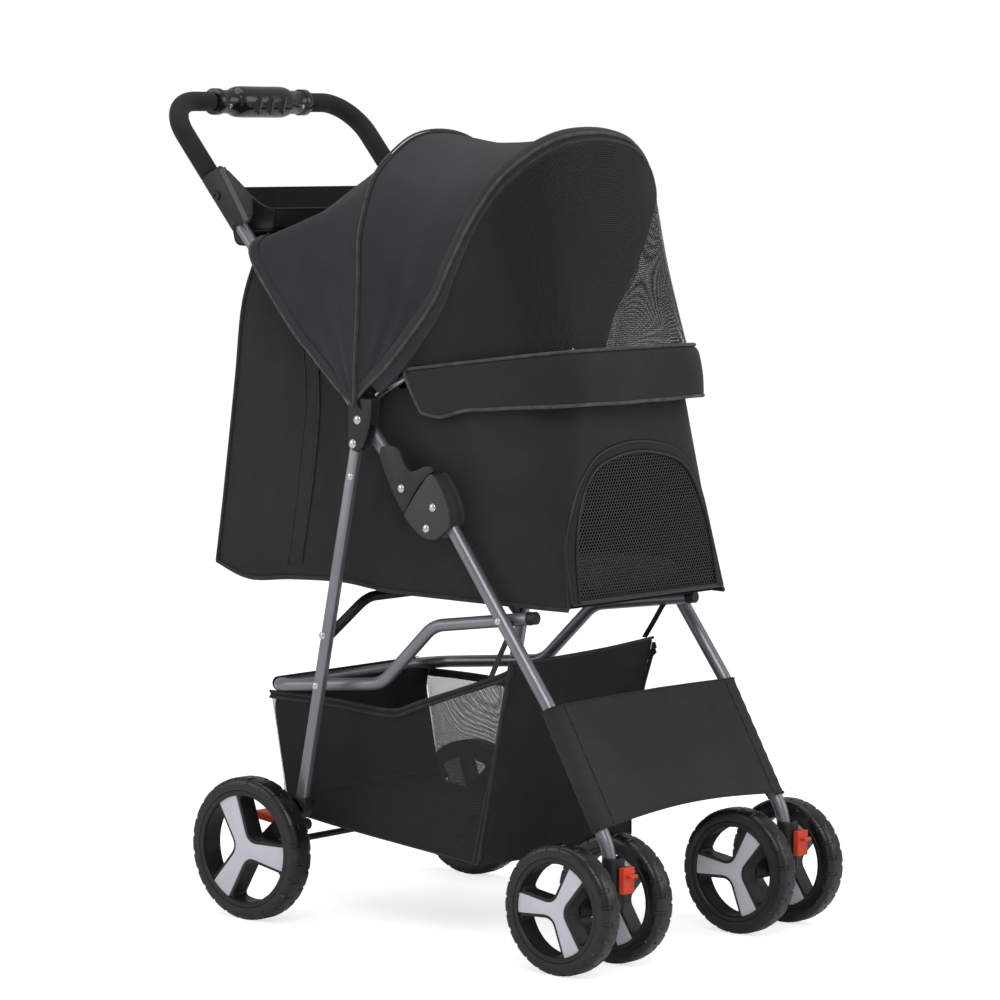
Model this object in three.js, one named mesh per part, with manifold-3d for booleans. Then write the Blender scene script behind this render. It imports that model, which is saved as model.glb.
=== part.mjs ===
// Pet stroller with a folding frame, four swivelling front wheels and two braked rear wheels.
// Millimetres, x forward, y to the stroller's left, z up from the floor.
import * as THREE from 'three';
import { mergeVertices } from 'three/addons/utils/BufferGeometryUtils.js';
import Module from 'manifold-3d';

const wasm = await Module();
wasm.setup();

// Driving dimensions shared by several pieces
const clearance = 0.3;
const overrun = 2;
const pinRadius = 4;
const thinPinRadius = 3;
const rivetHeadRadius = 5.5;
const rivetHeadHeight = 1.6;
const fabricWall = 3;
const hoodWall = 1.5;

// Side view places of the pivots
const legPivot = { x: -67, z: 578.5 };
const foldPivot = { x: 40, z: 486 };
const frontLinkPivot = { x: 142, z: 385.5 };
const rearLinkPivot = { x: -126, z: 287 };
const hoodPivot = { x: -60, z: 634 };
const latchPivot = { x: 1.4, z: 530 };
const legRivet = { x: 49.6, z: 511 };
const bracketRivet = { x: -60, z: 607 };

// Side layers, as distances from the middle plane that follow the cabin's width
const cabinHalfWidth = 150;
const tubeStandOff = 18;
const linkStandOff = 1;
const rimStandOff = 5;
const legStandOff = 15;
const tubeLine = cabinHalfWidth + tubeStandOff;
const linkLine = cabinHalfWidth + linkStandOff;
const rimLine = cabinHalfWidth + rimStandOff;
const rearLegLine = tubeLine + legStandOff;

// Handle frame
const tubeRadius = 8;
const handleKink = { x: -56, z: 592 };
const handleUpperKink = { x: -257, z: 815 };
const handleBar = { x: -395, z: 975 };
const handleBendRadius = 52;
const kinkRadius = 60;
const foamRadius = 12;
const foamReach = 94;
const foamStart = along(handleUpperKink, handleBar, foamReach);
const handleCornerRadius = Math.min(handleBendRadius, distance(foamStart, handleBar) - overrun);
const gripHalfLength = 85;
const gripCollarRadius = 14;
const gripBellyRadius = 17.5;
const gripCollarLength = 9;
const gripBellyHalfLength = 46;

// Tray behind the hood and its clamps
const clampRadius = 11.5;
const clampReach = 16;
const clampBottom = along(handleUpperKink, handleBar, clampReach);
const trayWall = 3;
const trayFront = { x: -225, z: 846 };
const trayFrontFoot = { x: -226, z: 823 };
const trayMiddleFoot = { x: -260, z: 822 };
const trayPocketFoot = { x: -268, z: 802 };
const trayRearFoot = { x: -288, z: 803 };
const trayRear = { x: -306, z: 871 };
const trayEndTop = { x: -307, z: 890 };
const trayEndMiddle = { x: -279, z: 871 };
const trayEndFront = { x: -248, z: 851 };
const trayEndWidth = 20;

// Legs
const rearLegWidth = 14;
const rearLegThickness = 10;
const rearLegFoot = { x: -151, z: 140 };
const rearLegTop = 11;
const frontLegKnee = { x: 212, z: 295 };
const frontLegAnkle = { x: 299, z: 146 };
const kingpin = { x: 309, z: 108 };
const frontLegOverlap = 8;
const crossTubeRadius = 6;
const crossTubeFoot = { x: -115.5, z: 348 };
const crossTubeCrown = { x: -104, z: 390 };
const crossTubeShoulderInset = 63;
const crossTubeShoulder = rearLegLine - crossTubeShoulderInset;

// Link frame under the cabin
const linkRadius = 7.5;
const linkRear = { x: -238, z: 274 };
const linkRearBend = { x: -53, z: 293 };
const linkFrontBend = { x: 26, z: 369 };
const linkEnd = { x: 181, z: 391 };
const linkCornerRadius = 40;
const linkBendRadius = 45;
const plugLength = 12;
const plugCollar = 2;

// Wheels
const frontWheelRadius = 75;
const frontWheelWidth = 29;
const frontWheelGap = 34;
const casterTrail = 34;
const rearWheelRadius = 86;
const rearWheelWidth = 31;
const rearAxle = { x: -209, z: rearWheelRadius };
const tyreDepth = 15;
const tyreShoulder = 7;
const tyreShoulderShares = [0.5, 1];
const rimDepth = 6;
const hubRadius = 13;
const axleRadius = 4;
const axleHeadRadius = 8;
const axleHeadHeight = 3;
const spokeInset = 3;
const spokeRootWidth = 15;
const spokeTipWidth = 26;
const frontSpokeAngle = 56.8;
const rearSpokeAngle = -5.1;

// Caster
const socketRadius = 13;
const socketTop = 132;
const socketBottom = 97;
const kingpinRadius = 5;
const kingpinGap = 3;
const forkHubRadius = 15;
const forkArmHalfWidth = 11;
const forkHubHalfWidth = 32;
const lockSize = { depth: 10, width: 20, height: 30 };
const lockMiddle = 108;
const lockTravel = 5;
const lockTab = { depth: 8, width: 12, height: 4 };

// Rear wheel brackets and brake pedals
const bracketInset = 11;
const bracketOverhang = 8;
const bracketInner = rearLegLine - bracketInset;
const bracketOuter = rearLegLine + bracketOverhang;
const rearWheelGap = 1;
const rearWheelInner = bracketOuter + rearWheelGap;
const wheelArmRadius = 14;
const armWidthShare = 0.8;
const legSocketRise = 34;
const legSocketHalfWidth = 12;
const pedalPivot = { x: -172, z: 112 };
const pedalWidth = 24;
const pedalInner = bracketInner - pedalWidth;
const pedalLength = 66;
const pedalThickness = 7;
const pedalEyeRadius = 7;

// Cabin
const cabinWall = 4;
const cabinRearFoot = { x: -317, z: 412 };
const cabinFrontFoot = { x: 225, z: 403 };
const cabinFrontTop = { x: 190, z: 680 };
const cabinRimBack = { x: -20, z: 651 };
const cabinNotch = { x: -62, z: 622 };
const cabinRearTop = { x: -272, z: 798 };
const cabinTubeTop = { x: -250, z: 804 };
const cabinRearMiddle = { x: -285, z: 616 };
const doorMargin = 26;
const doorHalfWidth = cabinHalfWidth - doorMargin;
const doorFoot = 10;
const doorSide = 40;
const doorTop = 168;
const boardThickness = 5;
const boardMargin = 10;
const padThickness = 16;
const padCrown = 10;
const padMargin = 16;
const padDrawShare = 0.04;
const padColumns = 12;
const padRows = 8;
const sleeveRadius = 9.8;
const sleeveLength = 58;

// Rim hoop and the rolled flap over it
const rimRadius = 4.5;
const rimBack = { x: -18, z: 657 };
const rimFront = { x: 203, z: 690 };
const rimCornerRadius = 34;
const flapBackTop = { x: -14, z: 664 };
const flapBackFoot = { x: 22, z: 618 };
const flapFrontTop = { x: 212, z: 697 };
const flapFrontFoot = { x: 222, z: 634 };

// Hood
const bowRadius = 3;
const bowInset = 6.4;
const hoodStartShare = 0.09;
const meshStartShare = 0.06;
const seamShare = 0.02;
const bowEyeRadius = 7;
const bowEyeWidth = 5;
const midBowAngle = 97;
const midBowReach = 309;
const midBowStandOff = 7;
const midBowHalfWidth = tubeLine + midBowStandOff;
const frontBowAngle = 54;
const frontBowReach = 379;
const frontBowHalfWidth = tubeLine;
const rearEdgeAngle = 134;
const rearEdgeCrownAngle = 133;
const rearEdgeReach = 249;
const rearEdgeStandOff = 2;
const rearEdgeHalfWidth = tubeLine + rearEdgeStandOff;
const hoodSag = 12;
const hoodRearSag = -2;
const meshBulge = 14;
const meshLift = 7;
const midBowShares = [[1, 0], [1, 0.33], [0.96, 0.47], [0.93, 0.59], [0.85, 0.7], [0.74, 0.81], [0.58, 0.89],
  [0.3, 0.975], [0, 1]];
const frontBowShares = [[0.86, 0], [0.9, 0.37], [0.96, 0.52], [1, 0.68], [0.97, 0.81], [0.87, 0.89],
  [0.72, 0.945], [0.4, 0.99], [0, 1]];
const frontBowLine = (frontBowHalfWidth - bowInset) * frontBowShares[0][0];
const rearEdgeShares = [[1, 0.03], [1, 0.34], [1, 0.56], [1, 0.78], [0.99, 0.955], [0.88, 0.985], [0.6, 0.995],
  [0.3, 1], [0, 1]];

// Basket and front panel
const basketHalfWidth = linkLine - linkRadius - clearance;
const basketRearTop = { x: linkRear.x, z: linkRear.z - linkRadius - clearance };
const basketRearFoot = { x: -212, z: 142 };
const basketBend = { x: -183, z: 121 };
const basketFrontFoot = { x: 92, z: 94 };
const basketFrontTop = { x: 131, z: 336 };
const basketSideDip = { x: -45, z: 262 };
const basketSideBack = { x: -140, z: 266 };
const hangerRadius = 14;
const hangerInset = 11;
const hangerOverhang = 8.7;
const hangerInner = linkLine - hangerInset;
const hangerOuter = linkLine + hangerOverhang;
const hangerStrapWidth = 18;
const hangerDrop = 43;
const panelStart = 6;
const panelLength = 150;
const panelOverhang = 11;
const panelHalfWidth = tubeLine + panelOverhang;

// Latch plates
const cheekThickness = 7;
const hookOutline = [
  { x: -26, z: 577 }, { x: -17, z: 578 }, { x: 3, z: 549 }, { x: 8, z: 543 }, { x: 20, z: 553 },
  { x: 33, z: 558 }, { x: 40, z: 553 }, { x: 38, z: 546 }, { x: 24, z: 532 }, { x: 12, z: 515 },
  { x: 3, z: 503 }, { x: -5, z: 515 }, { x: -16, z: 538 }, { x: -29, z: 562 },
];
const housingOutline = [
  { x: 46, z: 549 }, { x: 65, z: 527 }, { x: 75, z: 506 }, { x: 76, z: 487 }, { x: 55, z: 475 },
  { x: 37, z: 475 }, { x: 23, z: 484 }, { x: 14, z: 499 }, { x: 19, z: 513 }, { x: 28, z: 529 },
];
const housingWebOutline = [
  { x: 46, z: 549 }, { x: 65, z: 527 }, { x: 75, z: 506 }, { x: 76.8, z: 488.5 }, { x: 51, z: 524 },
  { x: 42, z: 536 },
];
const bracketOutline = [
  { x: -73, z: 626 }, { x: -73, z: 582 }, { x: -67, z: 571 }, { x: -59, z: 569 }, { x: -50, z: 577 },
  { x: -40, z: 599 }, { x: -38, z: 626 }, { x: -48, z: 643 }, { x: -64, z: 643 },
];
const bracketWebFoot = 602;
const bracketInnerPlate = 1.1;
const bracketOuterPlate = 3;

// Fineness of round shapes
const sideCount = 10;
const wheelSegments = 24;
const bendStep = 18;
const bowSteps = 16;
const bowSides = 6;
const sheetRows = 5;

const degree = Math.PI / 180;
const sides = [{ name: 'right', sign: -1 }, { name: 'left', sign: 1 }];

// Finishes
function finish(color, roughness, metalness = 0) {
  return new THREE.MeshStandardMaterial({ color, roughness, metalness });
}

const steel = finish(0x8d8b93, 0.35, 0.8);
const blackPlastic = finish(0x1c1c1e, 0.45);
const greyPlastic = finish(0x3a3a3d, 0.5);
const rubber = finish(0x1e1e20, 0.6);
const silverPlastic = finish(0xcfcbd8, 0.4, 0.1);
const redPlastic = finish(0xe0432a, 0.4);
const foam = finish(0x202021, 0.9);
const fabric = finish(0x2e2e30, 0.85);
const meshFabric = finish(0x232325, 0.9);
const padFabric = finish(0x3a3a3c, 0.9);

// Solid helpers
function toSolid(geometry) {
  const bare = geometry.clone();
  bare.deleteAttribute('normal');
  bare.deleteAttribute('uv');
  const merged = mergeVertices(bare);
  const triVerts = new Uint32Array(merged.index.array);
  const vertProperties = merged.attributes.position.array;
  return new wasm.Manifold(new wasm.Mesh({ numProp: 3, vertProperties, triVerts }));
}

function toGeometry(solid) {
  const mesh = solid.getMesh();
  const geometry = new THREE.BufferGeometry();
  geometry.setAttribute('position', new THREE.BufferAttribute(mesh.vertProperties, 3));
  geometry.setIndex(new THREE.BufferAttribute(mesh.triVerts, 1));
  geometry.computeVertexNormals();
  return geometry;
}

function join(first, ...others) {
  return toGeometry(others.reduce((sum, geometry) => sum.add(toSolid(geometry)), toSolid(first)));
}

function cut(body, ...tools) {
  return toGeometry(tools.reduce((rest, geometry) => rest.subtract(toSolid(geometry)), toSolid(body)));
}

// A plate with an outline in the side view, between two places across the stroller
function plate(outline, from, to) {
  const near = Math.min(from, to);
  const far = Math.max(from, to);
  const shape = new THREE.Shape(outline.map((point) => new THREE.Vector2(point.x, point.z)));
  const geometry = new THREE.ExtrudeGeometry(shape, { depth: far - near, bevelEnabled: false });
  geometry.rotateX(Math.PI / 2);
  geometry.translate(0, far, 0);
  return geometry;
}

// A rod across the stroller
function rod(radius, from, to, place, count = sideCount) {
  const geometry = new THREE.CylinderGeometry(radius, radius, Math.abs(to - from), count);
  geometry.translate(place.x, (from + to) / 2, place.z);
  return geometry;
}

function post(radius, foot, top, x, y, count = sideCount) {
  const geometry = new THREE.CylinderGeometry(radius, radius, top - foot, count);
  geometry.rotateX(Math.PI / 2);
  geometry.translate(x, y, (foot + top) / 2);
  return geometry;
}

function box(x, y, z, width, depth, height) {
  const geometry = new THREE.BoxGeometry(width, depth, height);
  geometry.translate(x, y, z);
  return geometry;
}

// A line through given points, sampled at those points only
class BentLine extends THREE.Curve {
  constructor(points) {
    super();
    this.points = points;
  }

  getPoint(t, target = new THREE.Vector3()) {
    const place = t * (this.points.length - 1);
    const index = Math.min(Math.floor(place), this.points.length - 2);
    return target.lerpVectors(this.points[index], this.points[index + 1], place - index);
  }

  getUtoTmapping(u) {
    return u;
  }
}

// Points of a line whose inner corners are rounded
function bend(corners, radii) {
  const points = [corners[0]];
  for (let i = 1; i < corners.length - 1; i++) {
    const back = corners[i - 1].clone().sub(corners[i]).normalize();
    const ahead = corners[i + 1].clone().sub(corners[i]).normalize();
    const turn = Math.PI - back.angleTo(ahead);
    const reach = radii[i - 1] * Math.tan(turn / 2);
    const start = corners[i].clone().addScaledVector(back, reach);
    const middle = back.clone().add(ahead).normalize();
    const centre = corners[i].clone().addScaledVector(middle, radii[i - 1] / Math.cos(turn / 2));
    const count = Math.max(1, Math.round(turn / degree / bendStep));
    const spin = new THREE.Vector3().crossVectors(back, ahead).normalize().negate();
    const arm = start.sub(centre);
    for (let step = 0; step <= count; step++) {
      points.push(arm.clone().applyAxisAngle(spin, (turn * step) / count).add(centre));
    }
  }
  points.push(corners[corners.length - 1]);
  return points;
}

// A ring turned about the y axis from a loop of distances and heights
function turned(loop, count) {
  return new THREE.LatheGeometry(loop.map(([reach, height]) => new THREE.Vector2(reach, height)), count);
}

function circlePoints(radius, count) {
  const points = [];
  for (let i = 0; i < count; i++) {
    const angle = (2 * Math.PI * i) / count;
    points.push(new THREE.Vector2(radius * Math.cos(angle), radius * Math.sin(angle)));
  }
  return points;
}

// A round bar, or a sleeve where an inner radius is given
function sweep(points, radius, innerRadius = 0, count = sideCount) {
  const shape = new THREE.Shape(circlePoints(radius, count));
  if (innerRadius > 0) {
    shape.holes.push(new THREE.Path(circlePoints(innerRadius, count)));
  }
  const extrudePath = new BentLine(points);
  return new THREE.ExtrudeGeometry(shape, { steps: points.length - 1, extrudePath });
}

function at(place, y) {
  return new THREE.Vector3(place.x, y, place.z);
}

function distance(start, end) {
  return Math.hypot(end.x - start.x, end.z - start.z);
}

// A point on the line from one place to another, at a distance from the first
function along(start, end, length, lift = 0) {
  const dx = (end.x - start.x) / distance(start, end);
  const dz = (end.z - start.z) / distance(start, end);
  return { x: start.x + dx * length - dz * lift, z: start.z + dz * length + dx * lift };
}

// The outline of a straight bar with flat ends
function barOutline(start, end, halfWidth, startReach = 0, endReach = 0) {
  const length = distance(start, end);
  return [
    along(start, end, -startReach, -halfWidth),
    along(start, end, length + endReach, -halfWidth),
    along(start, end, length + endReach, halfWidth),
    along(start, end, -startReach, halfWidth),
  ];
}

function circleOutline(place, radius, count = sideCount) {
  return circlePoints(radius, count).map((point) => ({ x: place.x + point.x, z: place.z + point.y }));
}

// A closed sheet with a given outer surface, thickened inwards
function slab(surface, thickness, across, lengthwise) {
  const geometry = new THREE.BoxGeometry(1, 1, 1, across, lengthwise, 1);
  const position = geometry.attributes.position;
  const step = 1 / (4 * Math.max(across, lengthwise));
  for (let i = 0; i < position.count; i++) {
    const u = position.getX(i) + 0.5;
    const v = position.getY(i) + 0.5;
    const depth = thickness * (0.5 - position.getZ(i));
    const low = surface(Math.max(u - step, 0), v);
    const alongU = surface(Math.min(u + step, 1), v).sub(low);
    const left = surface(u, Math.max(v - step, 0));
    const alongV = surface(u, Math.min(v + step, 1)).sub(left);
    const point = surface(u, v).addScaledVector(alongU.cross(alongV).normalize(), -depth);
    position.setXYZ(i, point.x, point.y, point.z);
  }
  // The far side's squares are split along the same diagonal as the near side's, so thin walls never cross
  const indices = geometry.index.array;
  const farSide = geometry.groups[5];
  for (let i = farSide.start; i < farSide.start + farSide.count; i += 6) {
    const [a, b, d, , c] = indices.slice(i, i + 6);
    indices.set([a, b, c, a, c, d], i);
  }
  return geometry;
}

// Groups and meshes
const stroller = new THREE.Group();
const leftmost = handleBar.x - gripBellyRadius;
const rightmost = kingpin.x - casterTrail + frontWheelRadius;
stroller.position.x = -(leftmost + rightmost) / 2;

function add(name, geometry, material) {
  const mesh = new THREE.Mesh(geometry, material);
  mesh.name = name;
  stroller.add(mesh);
}

// Handle frame
function handleTubeCorners() {
  const side = [foldPivot, handleKink, handleUpperKink, handleBar];
  const right = side.map((place) => at(place, -tubeLine));
  const left = side.map((place) => at(place, tubeLine)).reverse();
  right[0] = at(along(handleKink, foldPivot, distance(handleKink, foldPivot) + tubeRadius), -tubeLine);
  left[left.length - 1] = right[0].clone().setY(tubeLine);
  return [...right, ...left];
}

function makeHandleTube() {
  const radii = [kinkRadius, kinkRadius, handleCornerRadius, handleCornerRadius, kinkRadius, kinkRadius];
  const tube = sweep(bend(handleTubeCorners(), radii), tubeRadius);
  const holes = [];
  for (const side of sides) {
    for (const place of [foldPivot, latchPivot]) {
      const near = side.sign * (tubeLine - tubeRadius - overrun);
      const far = side.sign * (tubeLine + tubeRadius + overrun);
      holes.push(rod(pinRadius + clearance, near, far, place));
    }
  }
  add('handle_tube', cut(tube, ...holes), steel);
}

function makeFoamGrips() {
  for (const side of sides) {
    const line = side.sign * tubeLine;
    const start = along(foamStart, handleBar, clearance);
    const end = at(handleBar, side.sign * (gripHalfLength + clearance));
    const path = bend([at(start, line), at(handleBar, line), end], [handleCornerRadius]);
    add(`foam_grip_${side.name}`, sweep(path, foamRadius, tubeRadius + clearance), foam);
  }
}

function makeCentreGrip() {
  const bore = tubeRadius + clearance;
  const taperEnd = gripHalfLength - 2 * gripCollarLength;
  const collarEnd = taperEnd + gripCollarLength;
  const half = [
    [gripBellyRadius, gripBellyHalfLength], [foamRadius, taperEnd], [gripCollarRadius, collarEnd],
    [gripCollarRadius, gripHalfLength], [bore, gripHalfLength],
  ];
  const mirrored = half.map(([radius, place]) => [radius, -place]).reverse();
  const profile = [...mirrored, ...half, mirrored[0]];
  const geometry = turned(profile, 2 * sideCount);
  geometry.translate(handleBar.x, 0, handleBar.z);
  add('centre_grip', geometry, blackPlastic);
}

function makeTray() {
  const foot = [trayRearFoot, trayPocketFoot, trayMiddleFoot, trayFrontFoot];
  const outer = [trayFront, trayRear, ...foot];
  const end = [trayFront, trayEndFront, trayEndMiddle, trayEndTop, trayRear, ...foot];
  const halfWidth = tubeLine - clampRadius - clearance;
  const inner = [
    { x: trayFront.x - trayWall, z: trayFront.z + overrun },
    { x: trayRear.x + trayWall, z: trayRear.z + overrun },
    { x: trayRearFoot.x + trayWall, z: trayRearFoot.z + trayWall },
    { x: trayPocketFoot.x - trayWall, z: trayPocketFoot.z + trayWall },
    { x: trayMiddleFoot.x - trayWall, z: trayMiddleFoot.z + trayWall },
    { x: trayFrontFoot.x - trayWall, z: trayFrontFoot.z + trayWall },
  ];
  const body = plate(outer, -halfWidth, halfWidth);
  const ends = sides.map((side) => plate(end, side.sign * (halfWidth - trayEndWidth), side.sign * halfWidth));
  const well = plate(inner, trayEndWidth - halfWidth, halfWidth - trayEndWidth);
  const clamps = [];
  const bores = [];
  for (const side of sides) {
    const line = side.sign * tubeLine;
    clamps.push(sweep([at(clampBottom, line), at(foamStart, line)], clampRadius + 2 * clearance));
    const boreFoot = along(clampBottom, foamStart, -overrun);
    const boreTop = along(foamStart, clampBottom, -overrun);
    bores.push(sweep([at(boreFoot, line), at(boreTop, line)], tubeRadius + clearance));
  }
  add('tray', cut(join(body, ...ends, ...clamps), well, ...bores), blackPlastic);
}

// Pivot brackets on the handle tube, with the pins that carry the rear legs and the hood
function makePivotBrackets() {
  const tubeFace = tubeLine + tubeRadius + clearance;
  const legOuter = rearLegLine + rearLegThickness / 2;
  const webTop = bracketOutline.slice(6);
  const webFoot = [bracketOutline[0], bracketOutline[5]].map((point) => ({ x: point.x, z: bracketWebFoot }));
  const webHull = [bracketOutline[0], ...webFoot, ...webTop];
  for (const side of sides) {
    const y = (value) => side.sign * value;
    const face = legOuter + clearance + bracketOuterPlate;
    const outer = plate(bracketOutline, y(legOuter + clearance), y(face));
    const inner = plate(bracketOutline, y(tubeFace), y(tubeFace + bracketInnerPlate));
    const web = plate(webHull, y(tubeFace), y(face));
    const legPin = rod(pinRadius, y(tubeFace), y(face), legPivot);
    const headSpan = [y(face - overrun), y(face + rivetHeadHeight)];
    const heads = [legPivot, bracketRivet].map((place) => rod(rivetHeadRadius, ...headSpan, place));
    const pinEnd = frontBowLine - bowEyeWidth / 2;
    const hoodPin = rod(thinPinRadius, y(tubeFace + bracketInnerPlate), y(pinEnd), hoodPivot);
    const body = join(outer, inner, web, legPin, hoodPin, ...heads);
    add(`pivot_bracket_${side.name}`, body, greyPlastic);
  }
}

// Latch hooks on the handle tube and the housings on the front legs
function makeLatches() {
  const tubeFace = tubeLine + tubeRadius + clearance;
  const tubeInner = tubeLine - tubeRadius - clearance;
  for (const side of sides) {
    const y = (value) => side.sign * value;
    const face = tubeFace + cheekThickness;
    const hookPin = rod(pinRadius, y(tubeInner), y(face + rivetHeadHeight), latchPivot);
    add(`latch_hook_${side.name}`, join(plate(hookOutline, y(tubeFace), y(face)), hookPin), blackPlastic);
    const outer = plate(housingOutline, y(tubeFace), y(face));
    const inner = plate(housingOutline, y(tubeInner - cheekThickness), y(tubeInner));
    const web = plate(housingWebOutline, y(tubeInner - cheekThickness), y(face));
    const span = [y(tubeInner - cheekThickness), y(face + rivetHeadHeight)];
    const pins = [foldPivot, legRivet].map((place) => rod(pinRadius, ...span, place));
    add(`latch_housing_${side.name}`, join(outer, inner, web, ...pins), greyPlastic);
  }
}

// Rear legs, cross tube and axle
function makeRearLegs() {
  for (const side of sides) {
    const inner = side.sign * (rearLegLine - rearLegThickness / 2);
    const outer = side.sign * (rearLegLine + rearLegThickness / 2);
    const outline = barOutline(legPivot, rearLegFoot, rearLegWidth / 2, rearLegTop);
    const span = [inner - side.sign * overrun, outer + side.sign * overrun];
    const holes = [legPivot, rearLinkPivot].map((place) => rod(pinRadius + clearance, ...span, place));
    add(`rear_leg_${side.name}`, cut(plate(outline, inner, outer), ...holes), steel);
  }
}

function makeCrossTube() {
  const end = rearLegLine - rearLegThickness / 2 - clearance;
  const corners = [
    at(crossTubeFoot, -end), at(crossTubeFoot, -end + overrun * 2), at(crossTubeCrown, -crossTubeShoulder),
    at(crossTubeCrown, crossTubeShoulder), at(crossTubeFoot, end - overrun * 2), at(crossTubeFoot, end),
  ];
  const radii = [crossTubeRadius, linkCornerRadius, linkCornerRadius, crossTubeRadius];
  add('rear_cross_tube', sweep(bend(corners, radii), crossTubeRadius), blackPlastic);
}

function makeRearAxle() {
  const wheelFace = rearWheelInner + rearWheelWidth + clearance;
  const bar = rod(axleRadius, -wheelFace, wheelFace, rearAxle);
  const span = (side) => [side.sign * wheelFace, side.sign * (wheelFace + axleHeadHeight)];
  const heads = sides.map((side) => rod(axleHeadRadius, ...span(side), rearAxle));
  add('rear_axle', join(bar, ...heads), steel);
}

function makeWheelBrackets() {
  const legInner = rearLegLine - rearLegThickness / 2 - clearance;
  const legOuter = rearLegLine + rearLegThickness / 2 + clearance;
  const socketTopPlace = along(rearLegFoot, legPivot, legSocketRise);
  const socketOutline = barOutline(socketTopPlace, rearLegFoot, legSocketHalfWidth, 0, pinRadius);
  const bossOutline = barOutline(rearLegFoot, pedalPivot, wheelArmRadius / 2, 0, wheelArmRadius / 2);
  const lever = { x: pedalPivot.x - pedalLength, z: pedalPivot.z + pedalThickness };
  const leverOutline = barOutline(pedalPivot, lever, pedalThickness / 2);
  const leverFace = bracketInner - clearance;
  const slotOutline = barOutline(legPivot, rearLegFoot, rearLegWidth / 2 + clearance, 0, clearance);
  const armOutline = barOutline(rearLegFoot, rearAxle, wheelArmRadius * armWidthShare, wheelArmRadius / 2);
  for (const side of sides) {
    const y = (value) => side.sign * value;
    const socket = plate(socketOutline, y(bracketInner), y(bracketOuter));
    const arm = plate(armOutline, y(bracketInner), y(bracketOuter));
    const eye = rod(wheelArmRadius, y(bracketInner), y(bracketOuter), rearAxle);
    const pedalPin = rod(thinPinRadius, y(bracketInner + overrun), y(pedalInner), pedalPivot);
    const pinBoss = plate(bossOutline, y(bracketInner), y(bracketOuter));
    const slot = plate(slotOutline, y(legInner), y(legOuter));
    const bore = rod(axleRadius + clearance, y(bracketInner - overrun), y(bracketOuter + overrun), rearAxle);
    const body = cut(join(socket, arm, eye, pinBoss, pedalPin), slot, bore);
    add(`wheel_bracket_${side.name}`, body, blackPlastic);
    const leverPlate = plate(leverOutline, y(pedalInner), y(leverFace));
    const leverEye = rod(pedalEyeRadius, y(pedalInner), y(leverFace), pedalPivot);
    const boreSpan = [y(pedalInner - overrun), y(bracketInner + overrun)];
    const leverBore = rod(thinPinRadius + clearance, ...boreSpan, pedalPivot);
    add(`brake_pedal_${side.name}`, cut(join(leverPlate, leverEye), leverBore), redPlastic);
  }
}

// Front legs, caster sockets and swivel locks
function makeFrontLegs() {
  for (const side of sides) {
    const line = side.sign * tubeLine;
    const top = along(legRivet, frontLegKnee, -frontLegOverlap);
    const foot = { x: kingpin.x, z: kingpin.z + clearance };
    const corners = [top, frontLegKnee, frontLegAnkle, foot].map((place) => at(place, line));
    const tube = sweep(bend(corners, [kinkRadius, kinkRadius]), tubeRadius);
    const near = line - tubeRadius - overrun;
    const far = line + tubeRadius + overrun;
    add(`front_leg_${side.name}`, cut(tube, rod(pinRadius + clearance, near, far, legRivet)), steel);
  }
}

function makeCasterSockets() {
  const guideX = kingpin.x + socketRadius;
  const lockX = guideX + clearance + lockSize.depth / 2;
  const tabX = lockX + lockSize.depth / 2 + lockTab.depth / 2 - overrun;
  for (const side of sides) {
    const line = side.sign * tubeLine;
    const body = post(socketRadius, socketBottom, socketTop, kingpin.x, line, 2 * sideCount);
    const legBore = sweep([at(kingpin, line), at(frontLegAnkle, line)], tubeRadius + clearance);
    const pinBore = post(kingpinRadius + clearance, socketBottom - overrun, kingpin.z, kingpin.x, line);
    const guide = box(guideX, line, lockMiddle, lockSize.depth / 2, lockSize.width / 2, lockSize.height / 2);
    add(`caster_socket_${side.name}`, cut(join(body, guide), legBore, pinBore), blackPlastic);
    const lockBody = box(lockX, line, lockMiddle, lockSize.depth, lockSize.width, lockSize.height);
    const tab = box(tabX, line, lockMiddle + lockTravel, lockTab.depth, lockTab.width, lockTab.height);
    const channelDepth = lockSize.depth / 2 + 2 * clearance;
    const channelWidth = lockSize.width / 2 + 2 * clearance;
    const channel = box(guideX, line, lockMiddle, channelDepth, channelWidth, lockSize.height + overrun);
    add(`swivel_lock_${side.name}`, cut(join(lockBody, tab), channel), redPlastic);
  }
}

function makeCasterForks() {
  const axle = { x: kingpin.x - casterTrail, z: frontWheelRadius };
  const shoulder = socketBottom - clearance;
  for (const side of sides) {
    const line = side.sign * tubeLine;
    const column = post(socketRadius, frontWheelRadius, shoulder, kingpin.x, line, 2 * sideCount);
    const pin = post(kingpinRadius, frontWheelRadius, kingpin.z - kingpinGap, kingpin.x, line);
    const armEnd = { x: kingpin.x, z: shoulder - forkHubRadius };
    const armOutline = barOutline(axle, armEnd, forkHubRadius * armWidthShare, 0, forkHubRadius / 2);
    const arm = plate(armOutline, line - forkArmHalfWidth, line + forkArmHalfWidth);
    const hub = rod(forkHubRadius, line - forkHubHalfWidth, line + forkHubHalfWidth, axle, 2 * sideCount);
    const boreHalf = forkHubHalfWidth + overrun;
    const bore = rod(axleRadius + clearance, line - boreHalf, line + boreHalf, axle);
    add(`caster_fork_${side.name}`, cut(join(column, pin, arm, hub), bore), blackPlastic);
    const reach = frontWheelGap + frontWheelWidth + clearance;
    const bar = rod(axleRadius, line - reach, line + reach, axle);
    const span = (end) => [line + end.sign * reach, line + end.sign * (reach + axleHeadHeight)];
    const heads = sides.map((end) => rod(axleHeadRadius, ...span(end), axle));
    add(`caster_axle_${side.name}`, join(bar, ...heads), steel);
  }
}

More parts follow.
